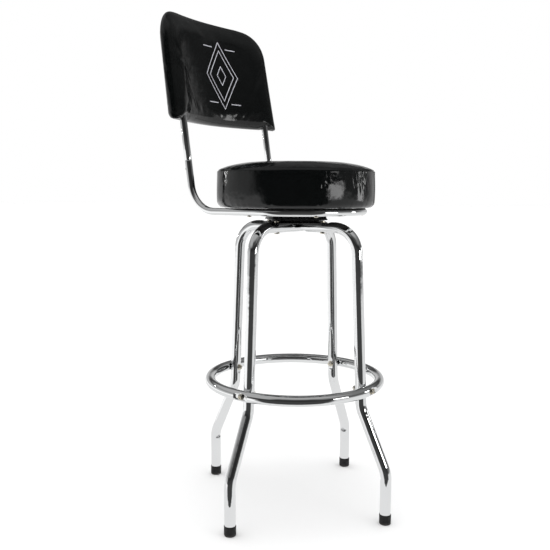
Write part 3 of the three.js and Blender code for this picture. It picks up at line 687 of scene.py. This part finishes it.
for side, degrees in SIDES.items():
    placed = spin(degrees)
    make(f"rubber_cap_{side}", moved(rubber_cap(), placed @ at(FOOT_REACH, 0, 0)), "base",
         "black_rubber", [f"foot_cap_{side}"])
    tilt = spin(20 + degrees)
    outside = placed @ at(RING_REACH + RING_RADIUS - RING_DIMPLE, 0, RING_HEIGHT) @ OUTWARD @ tilt
    make(f"ring_bolt_head_{side}", moved(domed_head(*BOLT_HEAD), outside), "base", "zinc_hardware",
         [f"ring_bolt_{side}"])
    inside = placed @ at(LEG_AT_RING - LEG_RADIUS + 1.4, 0, RING_HEIGHT) @ OUTWARD @ DOWNWARD @ tilt
    nut = merged(hexagon(5.7, 0.9, 5.8, NUT_BORE, 0.8), bolt_end(-1.5, 8.0))
    make(f"ring_nut_hex_{side}", moved(nut, inside), "base", "zinc_hardware", [f"ring_nut_{side}"])


# ---------------- swivel


def rounded_square(half, corner, z, steps=8):
    """A ring of points round a square turned by 45 degrees, with round corners."""
    ring = []
    for quarter in range(4):
        centre = spin(90 * quarter) @ Vector((half - corner, half - corner, 0))
        for step in range(steps + 1):
            a = pi / 2 * (quarter + step / steps)
            p = centre + Vector((corner * cos(a), corner * sin(a), z))
            ring.append(spin(45) @ p)
    return ring


def ball_groove(face, way):
    """The outline of the balls' groove in a face that looks up (way 1) or down (way -1)."""
    return [(BALL_CIRCLE + way * GROOVE_RADIUS * sin(a), face + way * (3.2 - GROOVE_RADIUS * cos(a)))
            for a in np.linspace(0.84, -0.84, 9)]


def base_plate():
    """The pressed plate on the legs, with a raised boss that carries the balls."""
    low, high, top = PLATE_LOW, PLATE_LOW + 2.5, PLATE_HIGH
    edges = ((62.7, 11.2, low), (63.5, 12, low + 0.8), (63.5, 12, high - 0.8), (62.7, 11.2, high))
    boss = turned([
        (61, high), (58.5, high + 0.5), (56.5, high + 1.8), (52, top - 1.5), (50.3, top - 0.2),
        (49, top), *ball_groove(top, 1), (7.5, top), (6.6, top - 0.8), (6.6, top - 2.4), (33, top - 2.4),
        (36, top - 5), (44, top - 5), (48.5, top - 2.5), (54.5, low + 0.3), (61, low + 0.3),
    ], 72, loop=True)
    return merged(lofted([rounded_square(*edge) for edge in edges]), boss)


def swivel_pan():
    """The pressed pan under the seat board: a rounded square that widens downwards to a turned-out lip,
    with a round hole for the pivot."""
    top, low = PAN_HIGH, PAN_LOW
    wide, narrow = 61.9, 54.8
    outside = ((wide, 13, low), (wide + 1.6, 14.5, low + 0.2), (wide + 1.7, 14.5, low + 1.6),
               (wide - 0.2, 13, low + 3.4), (narrow + 1.0, 11, top - 5), (narrow, 10.5, top - 2.2),
               (narrow - 1.3, 9.6, top - 0.6), (narrow - 3.4, 8.5, top))
    inside = ((narrow - 4, 8, top - 2.8), (narrow - 2.2, 9, top - 4.5), (wide - 3, 11, low + 3),
              (wide - 2.6, 11, low))
    outside, inside = ([rounded_square(*square) for square in squares] for squares in (outside, inside))
    hole = [circle(7.0, z, len(outside[0])) for z in (top, top - 2.8)]
    back = 3  # the hole's rings start this many points before 0 degrees
    hole = [ring[-back:] + ring[:-back] for ring in hole]
    return lofted([*outside, *hole, *inside], loop=True)


def cage_and_balls():
    """The pierced ring and its balls."""
    height = sum(heights("ball_bearing_ring")) / 2
    shapes = [turned([(34, height - 0.8), (46, height - 0.8), (46.3, height), (46, height + 0.8),
                      (34, height + 0.8), (33.7, height)], 72, loop=True)]
    outline = [(BALL_RADIUS * cos(a), BALL_RADIUS * sin(a))
               for a in np.linspace(-pi / 2, pi / 2, 13)]
    ball = turned([(0, -BALL_RADIUS), *outline[1:-1], (0, BALL_RADIUS)], 24)
    shapes += [moved(ball, spin(360 / BALLS * i) @ at(BALL_CIRCLE, 0, height)) for i in range(BALLS)]
    return merged(*shapes)


def upper_race():
    low, high = heights("swivel_upper_race")
    return turned([(33.5, low), *ball_groove(low, -1), (46.5, low), (47, low + 0.6), (47, high - 0.6),
                   (46.4, high), (33.6, high), (33, high - 0.6), (33, low + 0.6)], 72, loop=True)


make("swivel_plate_pressed", base_plate(), "base", "black_steel", ["swivel_base_plate"])
make("swivel_pan_pressed", swivel_pan(), "seat", "black_steel", ["swivel_pan"])
make("ball_cage_and_balls", cage_and_balls(), "ball_ring", "bearing_steel", ["ball_bearing_ring"])
make("upper_race_turned", upper_race(), "seat", "bearing_steel", ["swivel_upper_race"])

for side, degrees in SIDES.items():
    above = spin(degrees) @ at(PLATE_BOLT_REACH, 0, PLATE_LOW + 2.6)
    nut = merged(hexagon(5.6, 0, 3.2, NUT_BORE), bolt_end(-1.5, 4.0))
    make(f"plate_nut_hex_{side}", moved(nut, above), "base", "zinc_hardware", [f"plate_nut_{side}"])
    under = spin(degrees) @ at(PLATE_BOLT_REACH, 0, LEG_TOP - LEG_RADIUS + 0.4) @ DOWNWARD
    make(f"plate_bolt_head_{side}", moved(domed_head(*BOLT_HEAD), under), "base", "zinc_hardware",
         [f"plate_bolt_{side}"])


# ---------------- hoop and posts


def behind_at(z):
    """How far behind the axis the line of the posts is at a height."""
    return POST_BEHIND + (z - POST_AT) * tan(LEAN)


def hoop_path():
    end = (HOOP_REACH, behind_at(JOINT_HEIGHT), JOINT_HEIGHT)
    corner = (HOOP_REACH, behind_at(HOOP_HEIGHT), HOOP_HEIGHT)
    rail = (HOOP_REACH, 0, HOOP_HEIGHT)
    front = [(HOOP_REACH * cos(a), -HOOP_REACH * sin(a), HOOP_HEIGHT)
             for a in np.linspace(0, pi / 2, 40)]
    lip = [Vector(end) + (Vector(corner) - Vector(end)).normalized() * d for d in (0.25, 0.9, 3.0)]
    half = [end, *lip, *bend(end, corner, rail, HOOP_BEND, 26), *front]
    return half + [Vector((-p[0], p[1], p[2])) for p in reversed(half[:-1])]


def seat_hoop():
    path = hoop_path()
    radii = [TUBE] * len(path)
    for i, radius in enumerate((TUBE - 0.9, TUBE - 0.35)):
        radii[i] = radii[-1 - i] = radius
    return swept(path, radii, (1, 0, 0), 36)


BACK_FRAME = at(0, behind_at(BACK["bottom"]), BACK["bottom"]) @ Matrix.Rotation(-LEAN, 4, "X")
JOINT_Z = (JOINT_HEIGHT - BACK["bottom"]) / cos(LEAN)


def back_post():
    """A post on x = 0 in the back frame: a spigot in the hoop's end, a shoulder, then the tube."""
    z, top = JOINT_Z, JOINT_Z + POST_LENGTH
    return turned([
        (0, z - SPIGOT), (5.6, z - SPIGOT), (6.1, z - SPIGOT + 0.6), (6.1, z + 0.2),
        (TUBE - 0.9, z + 0.3), (TUBE - 0.3, z + 0.7), (TUBE, z + 1.6), (TUBE, z + 60),
        (TUBE, top - 0.8), (TUBE - 0.6, top), (0, top),
    ], 36)


make("hoop_tube", seat_hoop(), "seat", "chrome_tube", ["seat_hoop"])
for name, side in (("left", 1), ("right", -1)):
    at_post = BACK_FRAME @ at(side * HOOP_REACH, 0, 0)
    make(f"back_post_tube_{name}", moved(back_post(), at_post), "seat", "chrome_tube",
         [f"back_post_{name}"])
    at_screw = at_post @ at(0, TUBE - 0.1, JOINT_Z - 18) @ spin(-90, "X") @ Matrix.Scale(0.98, 4)
    make(f"post_lock_screw_{name}", moved(domed_head(3.6, 2.1), at_screw), "seat", "zinc_hardware",
         [f"post_screw_{name}"])

for place in ("front_left", "front_right", "rear_left", "rear_right"):
    low, high = span(f"hoop_screw_{place}")
    under = at((low.x + high.x) / 2, (low.y + high.y) / 2, HOOP_HEIGHT - TUBE + 0.1) @ DOWNWARD
    make(f"hoop_screw_head_{place}", moved(domed_head(4.6, 2.5), under), "seat", "zinc_hardware",
         [f"hoop_screw_{place}"])


# ---------------- seat

SEAT_SEAM = 775.4
BAND_SEAM = radians(289)  # where the side band's two ends are sewn together
# Creased parts of the band: bearing in degrees, spread in radians, and half height
CREASED = ((231, 0.08, 17), (264, 0.12, 22))
SEAT_SEGMENTS = 216
SEAT_PANEL = 4.6  # size of a cloth face
LIP = 161.5  # radius of the cover's edge under the board
STAPLES = 46
STAPLE_WIRE = ((-3.6, 1.6), (-3.6, 0.3), (-3.3, 0), (0, 0), (3.3, 0), (3.6, 0.3), (3.6, 1.6))


def seat_outside():
    """The cover's outer outline from the lip under the board to the middle of the top, and the row of
    its seam."""
    edge, low, seam, high = SEAT_RADIUS - 4.4, SEAT_LOW, SEAT_SEAM, SEAT_HIGH
    side = curve_through([(LIP, low + 0.6), (164, low), (170, low), (175.2, low + 3), (178.6, low + 9),
                          (edge, low + 19), (edge + 0.4, low + 45), (edge - 1.0, seam)], SEAT_PANEL)
    top = curve_through([(edge - 1.0, seam), (edge - 5, seam + 1.6), (edge - 11, seam + 4.2),
                         (edge - 21, seam + 7.4), (edge - 34, seam + 10.4), (edge - 48, seam + 13),
                         (edge - 70, high - 4.4), (60, high - 2.2), (8, high - 1.6)], SEAT_PANEL)
    return [*side, *top[1:]], len(side) - 1


def seat_inside():
    """The cover's inner outline, from the middle of the top back to the lip."""
    edge, low = SEAT_RADIUS - 6.4, BOARD_LOW - 0.3
    return [(8, SEAT_HIGH - 7), (edge - 60, SEAT_HIGH - 12), (edge - 30, SEAT_SEAM + 6),
            (edge - 18, SEAT_SEAM + 3), (edge - 4, SEAT_SEAM - 5), (edge - 1.5, SEAT_LOW + 20),
            (edge - 5, SEAT_LOW + 7), (edge - 9, low), (LIP, low)]


def seat_cover():
    outside, seam_row = seat_outside()
    rings = [circle(radius, height, SEAT_SEGMENTS) for radius, height in (*outside, *seat_inside())]
    points, faces = lofted(rings, loop=True)
    # The hole left at the middle of the top, outside and inside, is closed with fans
    under = len(outside) * SEAT_SEGMENTS
    crown = under - SEAT_SEGMENTS
    del faces[crown:under]
    points += [(0, 0, SEAT_HIGH - 1.3), (0, 0, SEAT_HIGH - 7)]
    for j in range(SEAT_SEGMENTS):
        k = (j + 1) % SEAT_SEGMENTS
        faces += [(len(points) - 2, crown + j, crown + k), (len(points) - 1, under + k, under + j)]

    piece = make("seat_upholstery", (points, faces), "seat", "black_vinyl", ["seat_cover"], smooth=180)
    pinned = np.zeros(len(points))
    row = np.arange(len(points)) // SEAT_SEGMENTS
    x, y, height = np.array(points).T
    radius = np.hypot(x, y)
    pinned[row == seam_row] = 1
    pinned[(height < SEAT_LOW + 3) | (row >= len(outside)) | (radius < 12)] = 1
    pinned[(radius < 90) & (row < len(outside)) & (pinned == 0)] = 0.15
    swollen(piece, pinned, pressure=5.0, limit=1.8, spare=0.003)
    subdivided(piece)
    dress_seat(piece)
    return piece


def angle_from(angle, bearing):
    """The angle from a bearing, between half a turn back and half a turn on."""
    return (angle - bearing + pi) % (2 * pi) - pi


def dress_seat(piece):
    """Sewn detail on the swollen cover: the pulled-in seam, its puckers, and creases in the band."""
    points, normals = points_of(piece)
    angle = np.arctan2(points[:, 1], points[:, 0])
    radius = np.hypot(points[:, 0], points[:, 1])
    height = points[:, 2]
    inner_skin = SEAT_RADIUS - 14
    outer = (radius > 120) & (height > SEAT_LOW - 1)
    outer &= radius > np.where(height < SEAT_SEAM - 4, inner_skin, 0)
    outer &= ~((height < SEAT_SEAM + 8) & (radius < inner_skin) & (height > SEAT_LOW + 3))
    round_seat = np.stack([np.cos(angle), np.sin(angle), 0 * angle], 1) * SEAT_RADIUS
    top_seam = np.hypot(radius - (SEAT_RADIUS - 5.4), height - SEAT_SEAM)
    shift = -1.6 * hump(top_seam, 1.7)
    # The turned edges inside the seam raise a small bead below it
    bead = np.hypot(radius - (SEAT_RADIUS - 4.6), height - (SEAT_SEAM - 3.2))
    shift += 0.8 * hump(bead, 1.5)
    gather = ridges(round_seat, 7.0, 1) + 0.6 * ridges(round_seat, 3.4, 2)
    shift += 0.6 * gather * hump(top_seam, 9 + 6 * ridges(round_seat, 24, 3)) * (top_seam > 0.8)
    low_seam = np.abs(height - (SEAT_LOW + 6))
    tucks = ridges(round_seat, 8.0, 4) + 0.6 * ridges(round_seat, 3.8, 5)
    shift += 0.35 * tucks * hump(low_seam, 8 + 4 * ridges(round_seat, 30, 6))
    # Slow unevenness, and slanting creases on the part of the band that faces forwards
    shift += 0.35 * ridges(points, 42, 7)
    along = angle * SEAT_RADIUS
    slant = np.stack([along + 0.35 * height, 0.30 * height - 0.2 * along, 0 * height], 1)
    folds = 1 - 2 * np.abs(ridges(slant, 8.0, 8))
    for bearing, spread, tall in CREASED:
        zone = hump(angle_from(angle, radians(bearing)), spread)
        zone *= hump(height - (SEAT_SEAM - 22), tall)
        shift += 2.3 * zone * (folds - 0.5)
    # The side band's own seam
    from_seam = angle_from(angle, BAND_SEAM) * SEAT_RADIUS
    band = (height < SEAT_SEAM) & (height > SEAT_LOW + 4)
    pulls = ridges(points * np.array([0, 0, 1]), 6, 9)
    shift += band * (-0.9 * hump(from_seam, 2.0) + 0.5 * pulls * hump(from_seam, 8))
    shift[~outer] = 0
    move_points(piece, points + normals * shift[:, None])


def band_stitches(skin):
    """Two rows of short stitches beside the band's seam: rods that dip into the cover at both ends."""
    hit = surface(skin)
    upright = Vector((0, 0, 1))
    shapes = []
    for offset in (-2.6, 2.6):
        turn = BAND_SEAM + offset / SEAT_RADIUS
        out = Vector((cos(turn), sin(turn), 0))
        for z in np.arange(SEAT_LOW + 9, SEAT_SEAM - 3, 4.6):
            centre = hit(out * 230 + Vector((0, 0, z)), -out)
            path = [centre + upright * (3.4 * t) + out * (0.75 - 2.6 * abs(t) ** 1.6)
                    for t in np.linspace(-0.5, 0.5, 7)]
            shapes.append(swept(path, 0.42, upright.cross(out), 8))
    return merged(*shapes)


def staples():
    """Wire staples that hold the cover's lip up against the seat board."""
    shapes = []
    for i in range(STAPLES):
        turn = 2 * pi * i / STAPLES + 0.03 * sin(5 * i)
        middle = Vector((165.6 + 0.8 * sin(3 * i), 0, SEAT_LOW - 0.25))
        across = spin(62 + 14 * sin(2.3 * i)) @ Vector((1, 0, 0))
        path = [middle + across * d + Vector((0, 0, z)) for d, z in STAPLE_WIRE]
        shapes.append(moved(swept(path, 0.3, (0, 0, 1), 8), Matrix.Rotation(turn, 4, "Z")))
    return merged(*shapes)


def seat_foam():
    low, high = heights("seat_foam")
    edge, seam = span("seat_foam")[1].y - 2.4, SEAT_SEAM
    shape = turned([
        (0, low), (160, low), (167, low + 0.5), (168.5, low + 3), (edge - 8, low + 8),
        (edge - 5.5, low + 16), (edge - 5, seam - 22), (edge - 6.5, seam - 7), (edge - 14, seam + 0.5),
        (edge - 26, seam + 3), (edge - 60, high - 13), (70, high - 9), (0, high - 8),
    ], 144)
    piece = make("seat_foam_pad", shape, "seat", "cream_foam", ["seat_foam"], smooth=60)
    subdivided(piece)
    points, normals = points_of(piece)
    move_points(piece, points + normals * (0.5 * ridges(points, 9, 11) - 0.4)[:, None])


make("seat_band_stitches", band_stitches(seat_cover()), "seat", "black_vinyl", finish=thread())
make("seat_staples", staples(), "seat", "zinc_hardware")
seat_foam()


# ---------------- padded back

COLUMNS, ROWS, DEPTHS = 68, 46, 20
SEAM_DEPTH = 5  # a seam runs round the panel this many depth steps from the front, and from the rear
BEND_CENTRE = -sqrt((BACK["bend"] - BACK["post_depth"]) ** 2 - HOOP_REACH ** 2)
SEAM_HOLD = (0.25, 1.0)  # how firmly the front and rear seams keep their place as the cover fills out
SLACK = 1.2  # how much smaller than full the cover is cut, all round
FOAM_SKIN = 6.0  # how far the foam lies inside the pad's full size


def half_width_at(height):
    """Half the unrolled panel's width, with its rounded top corners."""
    power = BACK["corner_power"]
    share = (height - (BACK["height"] - BACK["corner_height"])) / BACK["corner_height"]
    corner = BACK["corner_width"] * (1 - (1 - min(1, max(0, share)) ** power) ** (1 / power))
    return BACK["half_width"] - BACK["taper"] * height - corner


def bent(along, depth, height):
    """A point of the padded back from its unrolled place: along the bend, in from the middle layer
    (negative is towards the sitter), and up from the bottom edge."""
    angle = along / BACK["bend"]
    behind = BEND_CENTRE + (BACK["bend"] + depth) * cos(angle)
    local = Vector(((BACK["bend"] + depth) * sin(angle), behind, height + behind * tan(LEAN)))
    return BACK_FRAME @ local


def pad_point(column, row, level, skin):
    """A point of the pad's closed lattice, `skin` inside its surface."""
    slope = pi * (level / DEPTHS - 0.5)
    depth = (BACK["thickness"] / 2 - skin) * sin(slope)
    rounding = (BACK["edge"] - skin) * (1 - cos(slope))
    corner = BACK["corner_height"] / BACK["height"]
    rise, straight = row / ROWS, 0.58
    if rise <= straight:
        share = (1 - corner) * rise / straight
    else:
        turn = (rise - straight) / (1 - straight)
        share = 1 - corner + corner * (0.45 * turn + 0.55 * sin(pi / 2 * turn))
    foot = skin + BACK["bottom_edge"] * rounding
    height = foot + share * (BACK["height"] - skin - rounding - foot)
    along = (2 * column / COLUMNS - 1) * (half_width_at(share * BACK["height"]) - skin - rounding)
    drop = BACK["bow"] * (along / BACK["half_width"]) ** 2 * share
    return bent(along, depth, height - drop)


def pad_lattice(skin, first=0, last=DEPTHS):
    """The closed pad between two depth levels as points and faces, and the number of each place's
    point."""
    number, points, faces = {}, [], []
    for i in range(COLUMNS + 1):
        for j in range(ROWS + 1):
            for k in range(DEPTHS + 1):
                if i in (0, COLUMNS) or j in (0, ROWS) or k in (0, DEPTHS):
                    number[i, j, k] = len(points)
                    points.append(pad_point(i, j, first + (last - first) * k / DEPTHS, skin))

    def quad(flip, *corners):
        face = tuple(number[c] for c in corners)
        faces.append(tuple(reversed(face)) if flip else face)

    for i in range(COLUMNS):
        for j in range(ROWS):
            for k in (0, DEPTHS):
                quad(k, (i, j, k), (i + 1, j, k), (i + 1, j + 1, k), (i, j + 1, k))
        for k in range(DEPTHS):
            for j in (0, ROWS):
                quad(j, (i, j, k), (i, j, k + 1), (i + 1, j, k + 1), (i + 1, j, k))
    for j in range(ROWS):
        for k in range(DEPTHS):
            for i in (0, COLUMNS):
                quad(i, (i, j, k), (i, j + 1, k), (i, j + 1, k + 1), (i, j, k + 1))
    return points, faces, number


def rim(level, with_bottom):
    """The lattice places round the pad's edge at one depth: up one side, over the top and down."""
    side_up = [(0, j, level) for j in range(ROWS + 1)]
    over = [(i, ROWS, level) for i in range(1, COLUMNS)]
    side_down = [(COLUMNS, j, level) for j in range(ROWS, -1, -1)]
    under = [(i, 0, level) for i in range(COLUMNS - 1, 0, -1)] if with_bottom else []
    return side_up + over + side_down + under


def back_cover():
    points, faces, number = pad_lattice(SLACK)
    piece = make("back_upholstery", (points, faces), "seat", "black_vinyl", ["back_cover"], smooth=180)
    pinned = np.zeros(len(points))
    seams = [rim(SEAM_DEPTH, False), rim(DEPTHS - SEAM_DEPTH, True)]
    for seam, hold in zip(seams, SEAM_HOLD):
        for place in seam:
            pinned[number[place]] = hold
    for (i, j, k), n in number.items():
        if j == 0 and 3 <= k <= DEPTHS - SEAM_DEPTH:
            pinned[n] = max(pinned[n], 0.6)
    swollen(piece, pinned, pressure=4.5, limit=2.4, spare=0.002)
    places, _ = points_of(piece)
    lines = [[places[number[place]] for place in seam] for seam in seams]
    subdivided(piece)
    dress_back(piece, lines)
    return piece


def dress_back(piece, lines):
    """Sewn detail on the swollen cover: seams, puckers, and gathers at the lower corners and posts."""
    points, normals = points_of(piece)
    to_back = BACK_FRAME.inverted()
    x, y, z = np.array([tuple(to_back @ Vector(p)) for p in points]).T
    level = z - y * tan(LEAN)
    above = np.maximum(level, 0)
    low = hump(above, 14)
    shift = np.zeros(len(points))
    for n, line in enumerate(lines):
        distance, nearest = near_seam(points, dense(line))
        at_foot = hump(nearest[:, 2] - BACK["bottom"], 30)
        depth = SEAM_HOLD[n] * (1 + 0.5 * at_foot)
        gather = ridges(nearest, 8.5, 20 + n) + 0.6 * ridges(nearest, 4.0, 30 + n)
        shift -= depth * hump(distance, 1.8)
        shift += (0.5 + 0.5 * at_foot) * depth * gather * hump(distance, 6 + 3 * at_foot)
    for side in (-1, 1):
        # The lower corners are bunched where the boxing is folded under
        corner = np.array(bent(side * (BACK["half_width"] - 12), 4, 3))
        away = np.linalg.norm(points - corner, axis=1)
        bunch = 1 - 2 * np.abs(ridges(points, 9.0, 40)) + 0.5 * ridges(points, 4.5, 41)
        shift += 2.2 * (bunch - 0.45) * hump(away, 15)
        # The cover is drawn in round the post
        across = x - side * HOOP_REACH
        from_tube = np.hypot(across, y) - TUBE
        fan = np.arctan2(y, across)
        folds = np.cos(9 * fan + 2 * side) + 0.5 * np.cos(15 * fan + 1)
        shift += low * (-2.4 * hump(from_tube, 6) + 0.6 * folds * hump(from_tube, 9))
        shift += 0.7 * ridges_along(x, 6.0, 44) * hump(across, 20) * hump(above, 9) * (y < 10)
    # The hem along the bottom is drawn up in short pulls
    shift += 0.9 * low * ridges_along(x, 11.0, 46) * (y < 14)
    shift += 0.4 * ridges(points, 90, 45)
    move_points(piece, points + normals * shift[:, None])


def post_channels():
    """Bars a little wider than the posts, which cut the front foam's channels and are then removed."""
    bar = swept([(0, 0, -40), (0, 0, JOINT_Z + POST_LENGTH + 1)], TUBE + 0.6, (1, 0, 0), 24)
    return [make(f"channel_{side + 1}", moved(bar, BACK_FRAME @ at(side * HOOP_REACH, 0, 0)), "seat",
                 "cream_foam") for side in (1, -1)]


def back_foam(name, node, first, last, cutters=()):
    """A foam layer of the back: the lattice between two of the pad's depth levels."""
    shape = pad_lattice(FOAM_SKIN, first, last)[:2]
    piece = make(name, shape, "seat", "cream_foam", [node], smooth=50)
    for cutter in cutters:
        piece.modifiers.new("groove", "BOOLEAN").object = cutter
    if cutters:
        baked(piece)


back_skin = back_cover()
channels = post_channels()
back_foam("back_foam_pad_front", "back_foam_front", 0, 9, channels)
back_foam("back_foam_pad_rear", "back_foam_rear", 13.7, DEPTHS)
for channel in channels:
    bpy.data.objects.remove(channel)


# ---------------- printed motif

MOTIF_PLACE = (26.0, 126.0)  # its middle: along the bend, and up from the bottom edge
LINE_HALF_WIDTH = 1.1


def motif():
    """Nested diamonds and four short bars, as lines in the back's unrolled (along, up) plane."""
    lines = [[(0, -height), (width, 0), (0, height), (-width, 0), (0, -height)]
             for width, height in ((58, 82), (44, 62), (16, 23))]
    for height in (-68, 68):
        lines += [[(-58, height), (-26, height)], [(26, height), (58, height)]]
    return lines


def printed(skin):
    """The motif as thin bands of ink that follow the cover."""
    hit = surface(skin)
    half = LINE_HALF_WIDTH
    shapes = []

    def on_cover(along, up, lift):
        along, up = MOTIF_PLACE[0] + along, MOTIF_PLACE[1] + up
        inner, outer = bent(along, -90, up), bent(along, 0, up)
        return hit(inner, outer - inner) - (outer - inner).normalized() * lift

    for line in motif():
        for (x0, y0), (x1, y1) in zip(line, line[1:]):
            length = hypot(x1 - x0, y1 - y0)
            ux, uy = (x1 - x0) / length, (y1 - y0) / length
            rings = []
            for t in np.linspace(-half, length + half, max(2, int(length / 3)) + 1):
                x, y = x0 + ux * t, y0 + uy * t
                left, right = (x - uy * half, y + ux * half), (x + uy * half, y - ux * half)
                rings.append([on_cover(*left, 0.18), on_cover(*right, 0.18), on_cover(*right, -0.25),
                              on_cover(*left, -0.25)])
            shapes.append(lofted(rings))
    return merged(*shapes)


make("back_print", printed(back_skin), "seat", "black_vinyl", finish=ink())


# ---------------- pieces carried over from the frame

slots = {part["node"]: part["material_slot"] for part in frame["record"]["subparts"]}
for name, node in frame["nodes"].items():
    if not node.hide_render:
        node.data.materials.clear()
        node.data.materials.append(SLOT_FINISH[slots[name]])
        edge = node.modifiers.new("eased_edges", "BEVEL")
        edge.width = 0.0003
        edge.segments = 2
        edge.limit_method = "ANGLE"
        edge.angle_limit = radians(40)


# ---------------- stage, light and camera

CAMERA_DISTANCE, CAMERA_HEIGHT = 1644.3, 723.4  # from the swivel axis, and above the floor
CAMERA_BEARING = radians(56.27)  # where it stands: from the front towards the sitter's right
CAMERA_HEADING = radians(54.64)
CAMERA_PITCH = radians(6.506)
CAMERA_ROLL = radians(0.199)
CAMERA_LENS = 46.62
TO_CAMERA = Vector((-sin(CAMERA_BEARING), -cos(CAMERA_BEARING), 0))


def camera():
    data = bpy.data.cameras.new("camera")
    data.lens = CAMERA_LENS
    data.sensor_width = 36
    data.clip_start, data.clip_end = 0.05, 60
    holder = linked("camera", data)
    up = Vector((0, 0, 1))
    level = Vector((sin(CAMERA_HEADING), cos(CAMERA_HEADING), 0))
    forward = level * cos(CAMERA_PITCH) - up * sin(CAMERA_PITCH)
    upright = level * sin(CAMERA_PITCH) + up * cos(CAMERA_PITCH)
    right = forward.cross(upright)
    rolled_right = right * cos(CAMERA_ROLL) + upright * sin(CAMERA_ROLL)
    rolled_up = upright * cos(CAMERA_ROLL) - right * sin(CAMERA_ROLL)
    place = (TO_CAMERA * CAMERA_DISTANCE + up * CAMERA_HEIGHT) * MM + AXIS
    turn = Matrix((rolled_right, rolled_up, -forward)).transposed()
    holder.matrix_world = Matrix.Translation(place) @ turn.to_4x4()
    bpy.context.scene.camera = holder


def surroundings():
    """A white studio with a dark stretch, fixed in the room, on the side the stool is seen from."""
    world = bpy.data.worlds.new("studio")
    bpy.context.scene.world = world
    world.use_nodes = True
    g = Graph(world.node_tree)
    step, combine = g.between, g.math
    way = g.add("TexCoord", {}).outputs["Generated"]
    height = g.add("SeparateXYZ", {0: way}).outputs["Z"]

    def component(direction):
        """The level part of the way along a level direction, from -1 to 1."""
        dot = g.add("VectorMath", {0: way, 1: direction}, operation="DOT_PRODUCT").outputs["Value"]
        level = combine("SQRT", combine("SUBTRACT", 1.0, combine("MULTIPLY", height, height)), 0)
        return combine("DIVIDE", dot, combine("MAXIMUM", level, 0.05))

    def blend(share, low, high):
        rest = combine("SUBTRACT", 1.0, share)
        return combine("ADD", combine("MULTIPLY", rest, low), combine("MULTIPLY", share, high))

    near = component(TO_CAMERA)
    right = component(spin(90) @ TO_CAMERA)
    # Above the horizon: a dim room, paler at the sides, under a ceiling that is grey on the near side
    side = step(near, 0.62, 0.3)
    behind = step(near, -0.45, -0.8)
    walls = blend(side, 0.045, step(right, -0.3, 0.3, 0.58, 0.2))
    walls = combine("MULTIPLY", walls, step(height, 0.08, 0.3, 1.0, 0.5))
    walls = blend(behind, walls, step(height, 0.16, 0.34, 0.55, 0.05))
    ceiling = combine("MULTIPLY", step(height, 0.6, 0.85), step(near, -0.4, 0.1))
    corners = combine("MAXIMUM", step(right, -0.3, -0.65, 0.0, 0.45), step(right, 0.3, 0.7, 0.0, 0.2))
    lining = combine("MAXIMUM", corners, step(near, -0.3, 0.3, 0.14, 0.07))
    overhead = blend(step(height, 0.3, 0.55), walls, lining)
    upper = blend(ceiling, overhead, 0.42)
    # Below it: white paper, dark on the near side
    paper = blend(step(near, 0.57, 0.74), step(right, -0.6, 0.6, 1.1, 0.78), 0.055)
    lower = blend(step(height, -0.86, -0.95), paper, 0.72)
    seen = blend(step(height, -0.09, -0.01, 1.0, 0.0), upper, lower)
    # The camera itself sees plain white
    eye = g.add("LightPath", {}).outputs["Is Camera Ray"]
    background = g.nodes["Background"]
    background.inputs["Color"].default_value = (1, 1, 1, 1)
    g.links.new(combine("MAXIMUM", seen, eye), background.inputs["Strength"])


def soft_box(name, bearing, height, distance, width, tall, power):
    """A rectangular light that faces the stool, in metres and watts; `bearing` is in degrees from the
    camera's, towards its right."""
    data = bpy.data.lights.new(name, "AREA")
    data.shape = "RECTANGLE"
    data.size, data.size_y = width, tall
    data.energy = power
    light = linked(name, data)
    way = spin(bearing) @ TO_CAMERA
    place = AXIS + way * distance + Vector((0, 0, height))
    aim = (AXIS + Vector((0, 0, 0.75)) - place).normalized()
    light.matrix_world = Matrix.Translation(place) @ aim.to_track_quat("-Z", "Y").to_matrix().to_4x4()
    light.visible_camera = False


def sheet(name, corners, finish):
    """A flat sheet with its corners in metres."""
    mesh = bpy.data.meshes.new(name)
    mesh.from_pydata(corners, [], [(0, 1, 2, 3)])
    mesh.materials.append(finish.material)
    return linked(name, mesh)


def floor():
    """The pale floor, and a smaller sheet of lit paper that only reflections show."""
    pale = Finish("paper_floor", Base_Color=(0.9, 0.9, 0.9, 1), Roughness=0.9, Specular_IOR_Level=0.1)
    wide = sheet("floor", [(-40, -40, 0), (40, -40, 0), (40, 40, 0), (-40, 40, 0)], pale)
    # Chrome and vinyl show the nearer sheet below and the studio beyond it, and not this one
    wide.visible_glossy = False
    reach, near, far = 1.1, 0.36, 1.6  # how far it goes sideways, towards the camera and back
    corners = [(-reach, -near), (reach, -near), (reach, far), (-reach, far)]
    turn = Matrix.Rotation(-CAMERA_BEARING, 3, "Z")
    lit = Finish("lit_paper", Base_Color=(0, 0, 0, 1), Specular_IOR_Level=0,
                 Emission_Color=(1, 1, 1, 1), Emission_Strength=0.86)
    glow = sheet("paper_sheet", [AXIS + turn @ Vector((x, y, -0.0005)) for x, y in corners], lit)
    glow.visible_camera = glow.visible_diffuse = glow.visible_shadow = False


def daylight():
    """Even light from above for the floor and the matt surfaces."""
    data = bpy.data.lights.new("daylight", "SUN")
    data.energy = 3.1
    data.angle = radians(100)
    linked("daylight", data).visible_glossy = False


floor()
camera()
surroundings()
daylight()
soft_box("window", 56, 0.715, 1.9, 0.70, 0.28, 3.2)
soft_box("doorway", 101, 0.76, 1.9, 0.32, 0.44, 1.7)
soft_box("lamp", -118, 0.92, 2.2, 0.03, 0.03, 0.3)
bpy.context.scene.view_settings.view_transform = "Standard"
